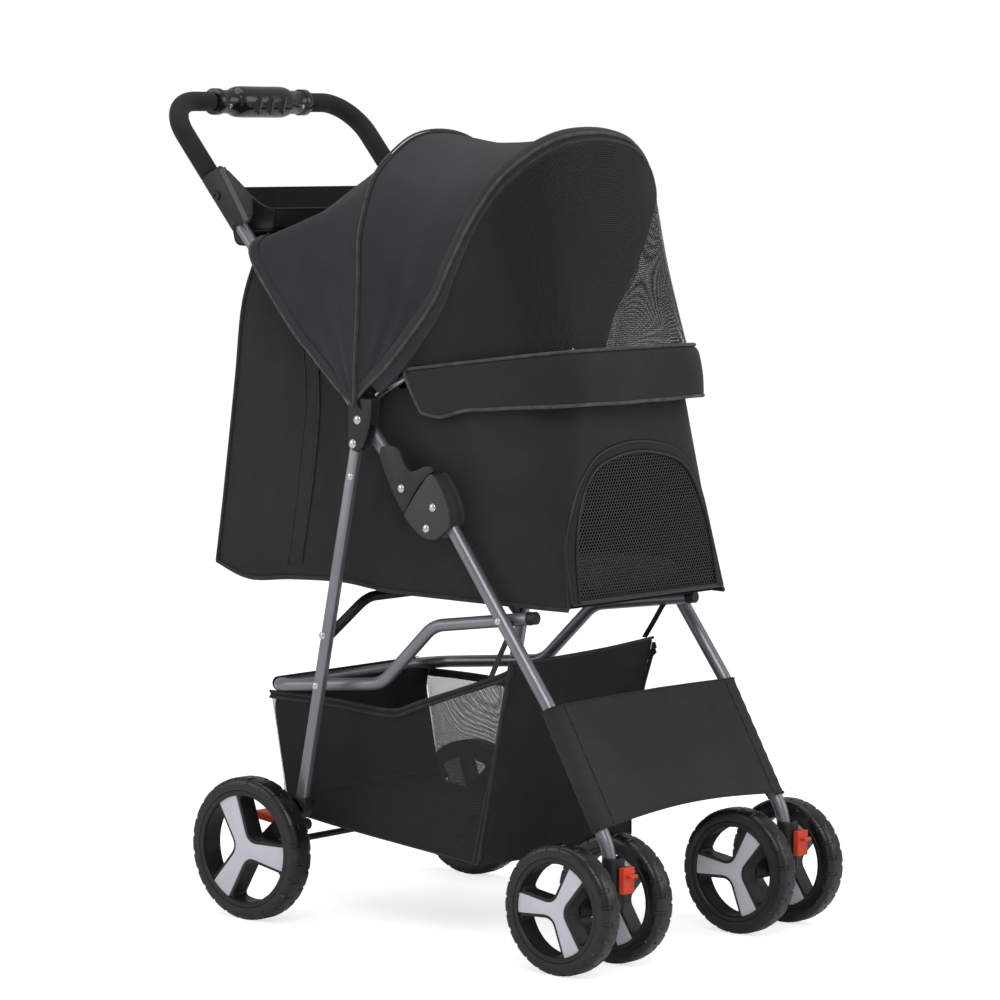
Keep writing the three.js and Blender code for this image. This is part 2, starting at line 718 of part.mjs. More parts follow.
// Wheels
function tyreGeometry(radius, width) {
  const inner = radius - tyreDepth;
  const half = width / 2;
  const profile = [[inner, -half], [radius - tyreShoulder, -half]];
  for (const share of tyreShoulderShares) {
    const angle = (share * Math.PI) / 2;
    const drop = tyreShoulder * (1 - Math.sin(angle));
    profile.push([radius - drop, -half + tyreShoulder * (1 - Math.cos(angle))]);
  }
  const mirrored = profile.map(([distanceOut, place]) => [distanceOut, -place]).reverse();
  return turned([...profile, ...mirrored, profile[0]], wheelSegments);
}

function rimGeometry(radius, width, startAngle) {
  const outer = radius - tyreDepth - clearance;
  const half = width / 2;
  const bore = axleRadius + clearance;
  const inner = outer - rimDepth;
  const ringLoop = [[inner, -half], [outer, -half], [outer, half], [inner, half], [inner, -half]];
  const hubLoop = [[bore, -half], [hubRadius, -half], [hubRadius, half], [bore, half], [bore, -half]];
  const tip = outer - rimDepth / 2;
  const pieces = [turned(hubLoop, 2 * sideCount)];
  for (let i = 0; i < 3; i++) {
    const angle = startAngle * degree + (i * 2 * Math.PI) / 3;
    const spokeCorners = [
      [(bore + hubRadius) / 2, -spokeRootWidth / 2], [tip, -spokeTipWidth / 2],
      [tip, spokeTipWidth / 2], [(bore + hubRadius) / 2, spokeRootWidth / 2],
    ];
    const outline = spokeCorners.map(([reach, offset]) => ({
      x: reach * Math.cos(angle) - offset * Math.sin(angle),
      z: reach * Math.sin(angle) + offset * Math.cos(angle),
    }));
    pieces.push(plate(outline, -half + spokeInset, half - spokeInset));
  }
  return join(turned(ringLoop, wheelSegments), ...pieces);
}

function addWheel(name, radius, width, startAngle, centre) {
  const tyre = tyreGeometry(radius, width);
  tyre.translate(centre.x, centre.y, centre.z);
  add(`${name}_tyre`, tyre, rubber);
  const rim = rimGeometry(radius, width, startAngle);
  rim.translate(centre.x, centre.y, centre.z);
  add(`${name}_rim`, rim, silverPlastic);
}

function makeWheels() {
  const axle = { x: kingpin.x - casterTrail, z: frontWheelRadius };
  for (const side of sides) {
    for (const twin of [{ name: 'inner', sign: -1 }, { name: 'outer', sign: 1 }]) {
      const middle = side.sign * (tubeLine + twin.sign * (frontWheelGap + frontWheelWidth / 2));
      const name = `front_wheel_${side.name}_${twin.name}`;
      addWheel(name, frontWheelRadius, frontWheelWidth, frontSpokeAngle, at(axle, middle));
    }
    const middle = side.sign * (rearWheelInner + rearWheelWidth / 2);
    addWheel(`rear_wheel_${side.name}`, rearWheelRadius, rearWheelWidth, rearSpokeAngle, at(rearAxle, middle));
  }
}

// Link frame, its plugs and the basket hangers
function makeLinkFrame() {
  const tubeEnd = along(linkEnd, linkFrontBend, plugLength);
  const side = [tubeEnd, linkFrontBend, linkRearBend, linkRear];
  const corners = [
    ...side.map((place) => at(place, -linkLine)),
    ...side.map((place) => at(place, linkLine)).reverse(),
  ];
  const sideRadii = [linkBendRadius, linkBendRadius, linkCornerRadius];
  const radii = [...sideRadii, ...sideRadii.slice().reverse()];
  const tube = sweep(bend(corners, radii), linkRadius);
  const pins = [];
  for (const end of sides) {
    const start = end.sign * linkLine;
    const headFace = end.sign * (rearLegLine + rearLegThickness / 2 + clearance);
    const headTop = headFace + end.sign * rivetHeadHeight;
    pins.push(rod(pinRadius, start, headTop, rearLinkPivot));
    pins.push(rod(rivetHeadRadius, headFace, headTop, rearLinkPivot));
  }
  add('link_tube', join(tube, ...pins), steel);
  for (const end of sides) {
    const line = end.sign * linkLine;
    const start = along(linkEnd, linkFrontBend, plugLength - clearance);
    const collar = along(linkEnd, linkFrontBend, plugLength - clearance - plugCollar);
    const body = join(
      sweep([at(start, line), at(linkEnd, line)], linkRadius),
      sweep([at(start, line), at(collar, line)], linkRadius + 2 * clearance),
    );
    add(`link_plug_${end.name}`, body, blackPlastic);
  }
}

function makeHangers() {
  const boreLine = (line) => [at(linkFrontBend, line), at(linkEnd, line)];
  for (const side of sides) {
    const inner = side.sign * hangerInner;
    const outer = side.sign * hangerOuter;
    const middle = side.sign * linkLine;
    const saddle = plate(circleOutline(frontLinkPivot, hangerRadius, 2 * sideCount), inner, outer);
    const strapTop = { x: frontLinkPivot.x - linkRadius, z: frontLinkPivot.z };
    const strapFoot = { x: basketFrontTop.x, z: frontLinkPivot.z - hangerDrop };
    const strapOutline = barOutline(strapTop, strapFoot, hangerStrapWidth / 2);
    const strap = plate(strapOutline, inner, inner + side.sign * fabricWall);
    const bore = sweep(boreLine(middle), linkRadius + clearance);
    add(`basket_hanger_${side.name}`, cut(join(saddle, strap), bore), fabric);
  }
}

// Basket under the cabin
function makeBasket() {
  const outline = [
    basketRearTop, basketRearFoot, basketBend, basketFrontFoot, basketFrontTop, basketSideDip, basketSideBack,
  ];
  const inner = [
    { x: basketRearTop.x + fabricWall, z: basketRearTop.z + overrun },
    { x: basketRearFoot.x + fabricWall, z: basketRearFoot.z + fabricWall },
    { x: basketBend.x + fabricWall, z: basketBend.z + fabricWall },
    { x: basketFrontFoot.x - fabricWall, z: basketFrontFoot.z + fabricWall },
    { x: basketFrontTop.x - fabricWall, z: basketFrontTop.z + overrun },
  ];
  const body = plate(outline, -basketHalfWidth, basketHalfWidth);
  const well = plate(inner, fabricWall - basketHalfWidth, basketHalfWidth - fabricWall);
  add('basket', cut(body, well), fabric);
}

function makeFrontPanel() {
  const inner = tubeRadius + clearance;
  const outer = inner + fabricWall;
  const end = panelStart + panelLength;
  const corners = [[panelStart, inner], [end, inner], [end, outer], [panelStart, outer]];
  const outline = corners.map(([reach, lift]) => along(frontLegKnee, frontLegAnkle, reach, lift));
  add('front_panel', plate(outline, -panelHalfWidth, panelHalfWidth), fabric);
}

// Cabin walls, floor and pad
function cabinFloorAt(x) {
  const share = (x - cabinRearFoot.x) / (cabinFrontFoot.x - cabinRearFoot.x);
  return cabinRearFoot.z + (cabinFrontFoot.z - cabinRearFoot.z) * share;
}

function makeCabinShell() {
  const frontInset = cabinWall + clearance;
  const sideOutline = [
    cabinRearFoot,
    { x: cabinFrontFoot.x - frontInset, z: cabinFloorAt(cabinFrontFoot.x - frontInset) },
    { x: cabinFrontTop.x - frontInset, z: cabinFrontTop.z },
    cabinRimBack, cabinNotch, cabinTubeTop, cabinRearTop, cabinRearMiddle,
  ];
  const rearLine = [cabinRearFoot, cabinRearMiddle, cabinRearTop];
  const rearInside = rearLine.map((place) => ({ x: place.x + cabinWall, z: place.z }));
  const rearOutline = [...rearLine, ...rearInside.reverse()];
  const floorFront = cabinFrontFoot.x - frontInset;
  const floorLine = [cabinRearFoot, { x: floorFront, z: cabinFloorAt(floorFront) }];
  const floorInside = floorLine.map((place) => ({ x: place.x, z: place.z + hoodWall }));
  const outlines = [rearOutline, [...floorLine, ...floorInside.reverse()]];
  const pieces = outlines.map((outline) => plate(outline, -cabinHalfWidth, cabinHalfWidth));
  const bores = [];
  for (const side of sides) {
    const y = (value) => side.sign * value;
    pieces.push(plate(sideOutline, y(cabinHalfWidth - cabinWall), y(cabinHalfWidth)));
    const top = along(handleUpperKink, handleKink, foamRadius);
    const foot = along(handleUpperKink, handleKink, foamRadius + sleeveLength);
    pieces.push(sweep([at(top, y(tubeLine)), at(foot, y(tubeLine))], sleeveRadius));
    const tabOutline = barOutline(top, foot, hoodWall);
    pieces.push(plate(tabOutline, y(cabinHalfWidth - cabinWall), y(tubeLine)));
    const boreTop = along(handleUpperKink, handleKink, foamRadius - overrun);
    const boreFoot = along(handleUpperKink, handleKink, foamRadius + sleeveLength + overrun);
    bores.push(sweep([at(boreTop, y(tubeLine)), at(boreFoot, y(tubeLine))], tubeRadius + clearance));
  }
  add('cabin_shell', cut(join(...pieces), ...bores), fabric);
}

function makeCabinFront() {
  const line = [cabinFrontFoot, cabinFrontTop];
  const inside = line.map((place) => ({ x: place.x - cabinWall, z: place.z }));
  const wall = plate([...line, ...inside.reverse()], -cabinHalfWidth, cabinHalfWidth);
  const arch = new THREE.Shape();
  arch.moveTo(-doorHalfWidth, doorFoot);
  arch.lineTo(doorHalfWidth, doorFoot);
  arch.lineTo(doorHalfWidth, doorSide);
  arch.absellipse(0, doorSide, doorHalfWidth, doorTop - doorSide, 0, Math.PI);
  arch.closePath();
  const depth = cabinFrontFoot.x - cabinFrontTop.x + cabinWall + overrun;
  const options = { depth: 2 * depth, bevelEnabled: false, curveSegments: sideCount };
  const doorway = new THREE.ExtrudeGeometry(arch, options);
  doorway.rotateX(Math.PI / 2);
  doorway.rotateZ(Math.PI / 2);
  doorway.translate(cabinFrontFoot.x - depth, 0, cabinFrontFoot.z);
  add('cabin_front', cut(wall, doorway), fabric);
}

function makeFloor() {
  const rear = cabinRearFoot.x + cabinWall + boardMargin;
  const front = cabinFrontFoot.x - cabinWall * 2 - boardMargin;
  const lift = hoodWall + clearance;
  const foot = (x, rise) => ({ x, z: cabinFloorAt(x) + rise });
  const boardTop = lift + boardThickness;
  const board = [foot(rear, lift), foot(front, lift), foot(front, boardTop), foot(rear, boardTop)];
  const halfWidth = cabinHalfWidth - cabinWall - clearance;
  add('floor_board', plate(board, -halfWidth, halfWidth), greyPlastic);
  const base = boardTop + clearance;
  const padHalf = cabinHalfWidth - padMargin;
  const padRear = rear + padMargin;
  const padFront = front - padMargin;
  const surface = (u, v) => {
    const x = padRear + (padFront - padRear) * u;
    const pull = 1 + padDrawShare * (Math.pow(2 * v - 1, 2) - 1);
    const squeeze = 1 + padDrawShare * (Math.pow(2 * u - 1, 2) - 1);
    const middleX = (padRear + padFront) / 2;
    const crown = padCrown * (1 - Math.pow(2 * u - 1, 4)) * (1 - Math.pow(2 * v - 1, 4));
    const y = (2 * v - 1) * padHalf * squeeze;
    return new THREE.Vector3(middleX + (x - middleX) * pull, y, cabinFloorAt(x) + base + crown);
  };
  const geometry = new THREE.BoxGeometry(1, 1, 1, padColumns, padRows, 1);
  const position = geometry.attributes.position;
  for (let i = 0; i < position.count; i++) {
    const u = position.getX(i) + 0.5;
    const v = position.getY(i) + 0.5;
    const w = position.getZ(i) + 0.5;
    const top = surface(u, v);
    const floor = cabinFloorAt(top.x) + base;
    const rise = top.z - floor + padThickness;
    position.setXYZ(i, top.x, top.y, floor + rise * w);
  }
  add('floor_pad', geometry, padFabric);
}

// Rim hoop round the front of the cabin and the flap rolled over it
function rimCorners(lift, line) {
  const back = { x: rimBack.x, z: rimBack.z + lift };
  const front = { x: rimFront.x, z: rimFront.z + lift };
  return [at(back, -line), at(front, -line), at(front, line), at(back, line)];
}

function makeRim() {
  const corners = rimCorners(0, rimLine);
  const path = [at(hoodPivot, -rimLine), ...corners, at(hoodPivot, rimLine)];
  const radii = [kinkRadius / 2, rimCornerRadius, rimCornerRadius, kinkRadius / 2];
  const hoop = sweep(bend(path, radii), rimRadius);
  const pieces = [];
  const bores = [];
  for (const side of sides) {
    const inner = side.sign * (rimLine - rimRadius);
    const outer = side.sign * (rimLine + rimRadius);
    const span = [inner - side.sign * overrun, outer + side.sign * overrun];
    pieces.push(rod(bowEyeRadius, inner, outer, hoodPivot));
    bores.push(rod(thinPinRadius + clearance, ...span, hoodPivot));
  }
  add('rim_hoop', cut(join(hoop, ...pieces), ...bores), steel);
}

function makeFlap() {
  const inner = rimLine + rimRadius + clearance;
  const outer = inner + fabricWall;
  const sideOutline = [flapBackTop, flapBackFoot, flapFrontFoot, flapFrontTop];
  const frontOutline = [
    { x: flapFrontTop.x - fabricWall, z: flapFrontTop.z }, flapFrontTop,
    flapFrontFoot, { x: flapFrontFoot.x - fabricWall, z: flapFrontFoot.z },
  ];
  const front = plate(frontOutline, -outer, outer);
  const flanks = sides.map((side) => plate(sideOutline, side.sign * inner, side.sign * outer));
  add('rim_flap', join(front, ...flanks), fabric);
}

// Hood bows, panels and the mesh window in front
// A hood arch from the right pivot over the top to the left one
function archCurve(shares, halfWidth, reach, sideAngle, crownAngle, inset = 0) {
  const half = shares.map(([widthShare, reachShare]) => {
    const angle = (sideAngle + (crownAngle - sideAngle) * (1 - widthShare)) * degree;
    const out = (reach - inset) * reachShare;
    const y = (halfWidth - inset) * widthShare;
    return new THREE.Vector3(hoodPivot.x + out * Math.cos(angle), y, hoodPivot.z + out * Math.sin(angle));
  });
  const rightHalf = half.map((point) => point.clone().setY(-point.y));
  return new THREE.CatmullRomCurve3([...rightHalf, ...half.slice(0, -1).reverse()]);
}

const frontArch = archCurve(frontBowShares, frontBowHalfWidth, frontBowReach, frontBowAngle, frontBowAngle);
const midArch = archCurve(midBowShares, midBowHalfWidth, midBowReach, midBowAngle, midBowAngle);
const rearAngles = [rearEdgeAngle, rearEdgeCrownAngle];
const rearArch = archCurve(rearEdgeShares, rearEdgeHalfWidth, rearEdgeReach, ...rearAngles);

function makeBow(name, shares, halfWidth, reach, angle) {
  const curve = archCurve(shares, halfWidth, reach, angle, angle, bowInset);
  const wire = curve.getSpacedPoints(2 * bowSteps);
  const pieces = [];
  const bores = [];
  for (const side of sides) {
    const middle = side.sign * (halfWidth - bowInset) * shares[0][0];
    const near = middle - bowEyeWidth / 2;
    const far = middle + bowEyeWidth / 2;
    pieces.push(rod(bowEyeRadius, near, far, hoodPivot));
    bores.push(rod(thinPinRadius + clearance, near - overrun, far + overrun, hoodPivot));
  }
  add(name, cut(join(sweep(wire, bowRadius, 0, bowSides), ...pieces), ...bores), steel);
}

// A sheet between two arches that starts a little way up from the pivot
function hoodSheet(name, ahead, behind, sag, material) {
  const surface = (u, v) => {
    const share = hoodStartShare + (1 - 2 * hoodStartShare) * u;
    const front = ahead.getPointAt(share);
    const rear = behind.getPointAt(share);
    const point = front.lerp(rear, seamShare + (1 - 2 * seamShare) * v);
    const outward = point.clone().sub(new THREE.Vector3(hoodPivot.x, 0, hoodPivot.z)).normalize();
    const rise = Math.sin(Math.PI * share);
    return point.addScaledVector(outward, -sag * 4 * v * (1 - v) * rise);
  };
  add(name, slab(surface, hoodWall, bowSteps, sheetRows), material);
}

function makeMeshWindow() {
  const line = bend(rimCorners(meshLift, rimLine), [rimCornerRadius, rimCornerRadius]);
  const rimCurve = new THREE.CurvePath();
  for (let i = 1; i < line.length; i++) {
    rimCurve.add(new THREE.LineCurve3(line[i - 1], line[i]));
  }
  const surface = (u, v) => {
    const share = meshStartShare + (1 - 2 * meshStartShare) * u;
    const top = frontArch.getPointAt(share);
    const foot = rimCurve.getPointAt(share);
    const point = foot.lerp(top, (1 - seamShare) * v);
    point.x += meshBulge * 4 * v * (1 - v) * Math.sin(Math.PI * share);
    return point;
  };
  add('mesh_window', slab(surface, hoodWall, bowSteps, sheetRows), meshFabric);
}

makeHandleTube();
makeFoamGrips();
makeCentreGrip();
makeTray();
makePivotBrackets();
makeLatches();
makeRearLegs();
makeCrossTube();
makeRearAxle();
makeWheelBrackets();
makeFrontLegs();
makeCasterSockets();
makeCasterForks();
makeWheels();
makeLinkFrame();
makeHangers();
makeBasket();
makeFrontPanel();
makeCabinShell();
makeCabinFront();
makeFloor();
makeRim();
makeFlap();
makeBow('front_bow', frontBowShares, frontBowHalfWidth, frontBowReach, frontBowAngle);
makeBow('mid_bow', midBowShares, midBowHalfWidth, midBowReach, midBowAngle);
hoodSheet('hood_front_panel', frontArch, midArch, hoodSag, fabric);
hoodSheet('hood_rear_panel', midArch, rearArch, hoodRearSag, fabric);
makeMeshWindow();

export default stroller;
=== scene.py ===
"""Looks of the pet stroller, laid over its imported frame. Metres, x forward, y to the left, z up."""
import bisect
import math

import bmesh
import bpy
from mathutils import Matrix, Vector, noise


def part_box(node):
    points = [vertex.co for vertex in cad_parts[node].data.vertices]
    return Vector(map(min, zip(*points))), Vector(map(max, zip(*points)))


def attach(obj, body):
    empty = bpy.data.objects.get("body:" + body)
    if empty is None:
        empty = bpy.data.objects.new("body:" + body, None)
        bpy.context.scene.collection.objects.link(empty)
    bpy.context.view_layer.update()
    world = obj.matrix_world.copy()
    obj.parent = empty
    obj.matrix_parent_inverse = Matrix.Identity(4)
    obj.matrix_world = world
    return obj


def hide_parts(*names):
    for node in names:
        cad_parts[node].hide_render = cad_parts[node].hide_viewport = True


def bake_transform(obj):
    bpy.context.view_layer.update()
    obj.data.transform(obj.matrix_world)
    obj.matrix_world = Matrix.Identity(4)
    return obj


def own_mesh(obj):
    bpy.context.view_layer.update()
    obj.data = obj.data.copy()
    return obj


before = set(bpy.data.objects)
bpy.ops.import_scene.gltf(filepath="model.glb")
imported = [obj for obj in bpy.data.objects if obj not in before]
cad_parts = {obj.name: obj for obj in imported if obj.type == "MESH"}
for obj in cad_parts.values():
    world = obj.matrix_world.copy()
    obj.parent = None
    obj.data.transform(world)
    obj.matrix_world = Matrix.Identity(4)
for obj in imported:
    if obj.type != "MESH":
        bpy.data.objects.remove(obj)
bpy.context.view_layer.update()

# The drawing's side view has its own zero, which the rear axle gives
DRAWN_AXLE_X = -0.209
axle_low, axle_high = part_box("rear_axle")
SHIFT = (axle_low.x + axle_high.x) / 2 - DRAWN_AXLE_X
SIDES = (("right", -1), ("left", 1))
GAP = 0.0003


def at(place, y):
    """A point of the side view (x, z), carried out to y."""
    return Vector((place[0] + SHIFT, y, place[1]))


# Side view places, as on the drawing
LEG_PIVOT = (-0.067, 0.5785)
FOLD_PIVOT = (0.040, 0.486)
FRONT_LINK_PIVOT = (0.142, 0.3855)
REAR_LINK_PIVOT = (-0.126, 0.287)
HOOD_PIVOT = (-0.060, 0.634)
LATCH_PIVOT = (0.0014, 0.530)
LEG_RIVET = (0.0496, 0.511)
BRACKET_RIVET = (-0.060, 0.607)
HANDLE_KINK = (-0.056, 0.592)
HANDLE_UPPER_KINK = (-0.257, 0.815)
HANDLE_BAR = (-0.395, 0.975)
REAR_LEG_FOOT = (-0.151, 0.140)
FRONT_LEG_KNEE = (0.212, 0.295)
FRONT_LEG_ANKLE = (0.299, 0.146)
KINGPIN = (0.309, 0.108)
LINK_REAR = (-0.238, 0.274)
LINK_REAR_BEND = (-0.053, 0.293)
LINK_FRONT_BEND = (0.026, 0.369)
LINK_END = (0.181, 0.391)
CROSS_FOOT = (-0.1155, 0.348)
CROSS_CROWN = (-0.104, 0.390)
REAR_AXLE = (-0.209, 0.086)
FRONT_AXLE = (0.275, 0.075)
PEDAL_PIVOT = (-0.172, 0.112)

# Side layers and bar sizes
TUBE_LINE = 0.168
LINK_LINE = 0.151
LEG_LINE = 0.183
RIM_LINE = 0.155
TUBE_RADIUS = 0.008
LINK_RADIUS = 0.0075
RIM_RADIUS = 0.0045
BOW_RADIUS = 0.003
FOAM_RADIUS = 0.012
LEG_WIDTH = 0.014
LEG_THICKNESS = 0.010
RIVET_RADIUS = 0.0050
CABIN_HALF = 0.150
NET_WALL = 0.0006


# Measures in the side view
def distance(start, end):
    return math.hypot(end[0] - start[0], end[1] - start[1])


def along(start, end, length, lift=0.0):
    """A point at a distance from start towards end, lifted square to that line."""
    dx = (end[0] - start[0]) / distance(start, end)
    dz = (end[1] - start[1]) / distance(start, end)
    return (start[0] + dx * length - dz * lift, start[1] + dz * length + dx * lift)


def mix(a, b, share):
    return a + (b - a) * share


def ease(share):
    share = min(max(share, 0.0), 1.0)
    return share * share * (3 - 2 * share)


def bar_outline(start, end, half_width, start_reach=0.0, end_reach=0.0):
    length = distance(start, end)
    return [
        along(start, end, -start_reach, -half_width), along(start, end, length + end_reach, -half_width),
        along(start, end, length + end_reach, half_width), along(start, end, -start_reach, half_width),
    ]


def bend(corners, radii, turn_step=math.radians(7)):
    """A line whose inner corners are rounded to the given radii."""
    points = [corners[0].copy()]
    for i, radius in enumerate(radii, 1):
        back = (corners[i - 1] - corners[i]).normalized()
        ahead = (corners[i + 1] - corners[i]).normalized()
        turn = math.pi - back.angle(ahead)
        start = corners[i] + back * radius * math.tan(turn / 2)
        centre = corners[i] + (back + ahead).normalized() * radius / math.cos(turn / 2)
        axis = -back.cross(ahead).normalized()
        count = max(2, round(turn / turn_step))
        for step in range(count + 1):
            points.append(centre + Matrix.Rotation(turn * step / count, 3, axis) @ (start - centre))
    points.append(corners[-1].copy())
    return points


def smooth_line(points, cuts, closed=False):
    """Points of a smooth line through the given ones, with cuts steps between each pair."""
    out = []
    count = len(points)
    spans = count if closed else count - 1
    for i in range(spans):
        if closed:
            p = [Vector(points[(i + k) % count]) for k in (-1, 0, 1, 2)]
        else:
            p = [Vector(points[min(max(i + k, 0), count - 1)]) for k in (-1, 0, 1, 2)]
        for step in range(cuts):
            t = step / cuts
            out.append(0.5 * ((2 * p[1]) + (p[2] - p[0]) * t + (2 * p[0] - 5 * p[1] + 4 * p[2] - p[3]) * t * t
                              + (3 * p[1] - p[0] - 3 * p[2] + p[3]) * t * t * t))
    if not closed:
        out.append(Vector(points[-1]))
    return out


# Materials
def new_material(name, color, roughness, metallic=0.0):
    material = bpy.data.materials.new(name)
    material.use_nodes = True
    shader = material.node_tree.nodes["Principled BSDF"]
    shader.inputs["Base Color"].default_value = (*color, 1)
    shader.inputs["Roughness"].default_value = roughness
    shader.inputs["Metallic"].default_value = metallic
    return material, material.node_tree, shader


def add_node(tree, kind, **values):
    node = tree.nodes.new(kind)
    for name, value in values.items():
        setattr(node, name, value)
    return node


def coordinates(tree, kind="Object"):
    return add_node(tree, "ShaderNodeTexCoord").outputs[kind]


def noise_value(tree, source, scale, detail=4.0, roughness=0.55, stretch=None):
    texture = add_node(tree, "ShaderNodeTexNoise")
    texture.inputs["Scale"].default_value = scale
    texture.inputs["Detail"].default_value = detail
    texture.inputs["Roughness"].default_value = roughness
    if stretch:
        mapping = add_node(tree, "ShaderNodeMapping")
        mapping.inputs["Scale"].default_value = stretch
        tree.links.new(source, mapping.inputs["Vector"])
        source = mapping.outputs["Vector"]
    tree.links.new(source, texture.inputs["Vector"])
    return texture.outputs["Fac"]


def math_value(tree, operation, first, second=None):
    node = add_node(tree, "ShaderNodeMath", operation=operation)
    for socket, value in zip(node.inputs, (first, second)):
        if value is None:
            continue
        if isinstance(value, (int, float)):
            socket.default_value = value
        else:
            tree.links.new(value, socket)
    return node.outputs["Value"]


def ramp(tree, value, stops):
    node = add_node(tree, "ShaderNodeValToRGB")
    tree.links.new(value, node.inputs["Fac"])
    elements = node.color_ramp.elements
    while len(elements) < len(stops):
        elements.new(0.5)
    for element, (place, color) in zip(elements, stops):
        element.position = place
        element.color = (*color, 1) if len(color) == 3 else color
    return node.outputs["Color"]


def shades(color, darker, lighter):
    return [tuple(c * darker for c in color), tuple(c * lighter for c in color)]


def vary_color(tree, shader, value, color, darker=0.85, lighter=1.15, low=0.3, high=0.7):
    dark, light = shades(color, darker, lighter)
    tree.links.new(ramp(tree, value, [(low, dark), (high, light)]), shader.inputs["Base Color"])


def vary_roughness(tree, shader, value, low, high):
    span = add_node(tree, "ShaderNodeMapRange")
    span.inputs["To Min"].default_value = low
    span.inputs["To Max"].default_value = high
    tree.links.new(value, span.inputs["Value"])
    tree.links.new(span.outputs["Result"], shader.inputs["Roughness"])


def add_bump(tree, shader, height, strength, depth):
    bump = add_node(tree, "ShaderNodeBump")
    bump.inputs["Strength"].default_value = strength
    bump.inputs["Distance"].default_value = depth
    tree.links.new(height, bump.inputs["Height"])
    before = shader.inputs["Normal"].links
    if before:
        tree.links.new(before[0].from_socket, bump.inputs["Normal"])
    tree.links.new(bump.outputs["Normal"], shader.inputs["Normal"])


def wave(tree, value, pitch, phase=0.0):
    """A sine along a length, one turn per pitch."""
    turned = math_value(tree, "MULTIPLY", value, 2 * math.pi / pitch)
    return math_value(tree, "SINE", math_value(tree, "ADD", turned, phase))


def make_frame_paint():
    material, tree, shader = new_material("frame_paint", (0.30, 0.29, 0.325), 0.34, 0.62)
    source = coordinates(tree)
    vary_color(tree, shader, noise_value(tree, source, 24), (0.32, 0.31, 0.345), 0.93, 1.07)
    vary_roughness(tree, shader, noise_value(tree, source, 90), 0.27, 0.40)
    add_bump(tree, shader, noise_value(tree, source, 1500, 2), 0.10, 0.0002)
    shader.inputs["Coat Weight"].default_value = 0.25
    shader.inputs["Coat Roughness"].default_value = 0.18
    return material


def make_bright_steel():
    material, tree, shader = new_material("bright_steel", (0.80, 0.80, 0.82), 0.22, 0.95)
    source = coordinates(tree)
    vary_roughness(tree, shader, noise_value(tree, source, 300), 0.15, 0.32)
    vary_color(tree, shader, noise_value(tree, source, 120), (0.80, 0.80, 0.82), 0.92, 1.05)
    return material


def make_moulded_plastic(name, color, low, high, grain=0.14, coat=0.0):
    material, tree, shader = new_material(name, color, (low + high) / 2)
    source = coordinates(tree)
    vary_color(tree, shader, noise_value(tree, source, 18), color, 0.88, 1.12)
    vary_roughness(tree, shader, noise_value(tree, source, 70), low, high)
    add_bump(tree, shader, noise_value(tree, source, 1100, 3), grain, 0.0003)
    shader.inputs["Coat Weight"].default_value = coat
    shader.inputs["Coat Roughness"].default_value = 0.12
    return material


def make_foam():
    color = (0.015, 0.015, 0.016)
    material, tree, shader = new_material("grip_foam", color, 0.8)
    source = coordinates(tree)
    cells = add_node(tree, "ShaderNodeTexVoronoi")
    cells.inputs["Scale"].default_value = 1300
    tree.links.new(source, cells.inputs["Vector"])
    vary_color(tree, shader, noise_value(tree, source, 40), color, 0.8, 1.25)
    add_bump(tree, shader, cells.outputs["Distance"], 0.35, 0.0004)
    add_bump(tree, shader, noise_value(tree, source, 60, 3), 0.25, 0.0008)
    shader.inputs["Sheen Weight"].default_value = 0.06
    return material


def make_cloth(name, color, pitch=0.0011, sheen=0.10, stripe=0.0):
    """Plain woven cloth on the piece's own UV map, which is in metres."""
    material, tree, shader = new_material(name, color, 0.78)
    parts = add_node(tree, "ShaderNodeSeparateXYZ")
    tree.links.new(coordinates(tree, "UV"), parts.inputs["Vector"])
    across = wave(tree, parts.outputs["X"], pitch)
    length = wave(tree, parts.outputs["Y"], pitch)
    weave = math_value(tree, "MULTIPLY", across, length)
    source = coordinates(tree)
    worn = noise_value(tree, source, 5.5, 5, 0.6)
    threads = noise_value(tree, source, 420, 2)
    blotch = math_value(tree, "MULTIPLY", worn, 0.8)
    blotch = math_value(tree, "ADD", blotch, math_value(tree, "MULTIPLY", threads, 0.2))
    vary_color(tree, shader, blotch, color, 0.78, 1.22, 0.35, 0.65)
    vary_roughness(tree, shader, noise_value(tree, source, 30), 0.66, 0.88)
    add_bump(tree, shader, weave, 0.35, 0.00035)
    add_bump(tree, shader, noise_value(tree, source, 45, 4), 0.22, 0.0016)
    if stripe:
        add_bump(tree, shader, length, stripe, 0.0004)
    shader.inputs["Sheen Weight"].default_value = sheen
    shader.inputs["Sheen Roughness"].default_value = 0.45
    shader.inputs["Specular IOR Level"].default_value = 0.32
    return material


def make_binding(name, color):
    """Ribbed tape of the hems and piping, on object coordinates."""
    material, tree, shader = new_material(name, color, 0.7)
    source = coordinates(tree)
    worn = noise_value(tree, source, 65, 5, 0.65)
    vary_color(tree, shader, worn, color, 0.62, 1.45, 0.36, 0.66)
    vary_roughness(tree, shader, noise_value(tree, source, 110), 0.5, 0.8)
    add_bump(tree, shader, noise_value(tree, source, 900, 3), 0.35, 0.0005)
    add_bump(tree, shader, noise_value(tree, source, 120, 3), 0.45, 0.0012)
    shader.inputs["Sheen Weight"].default_value = 0.15
    return material


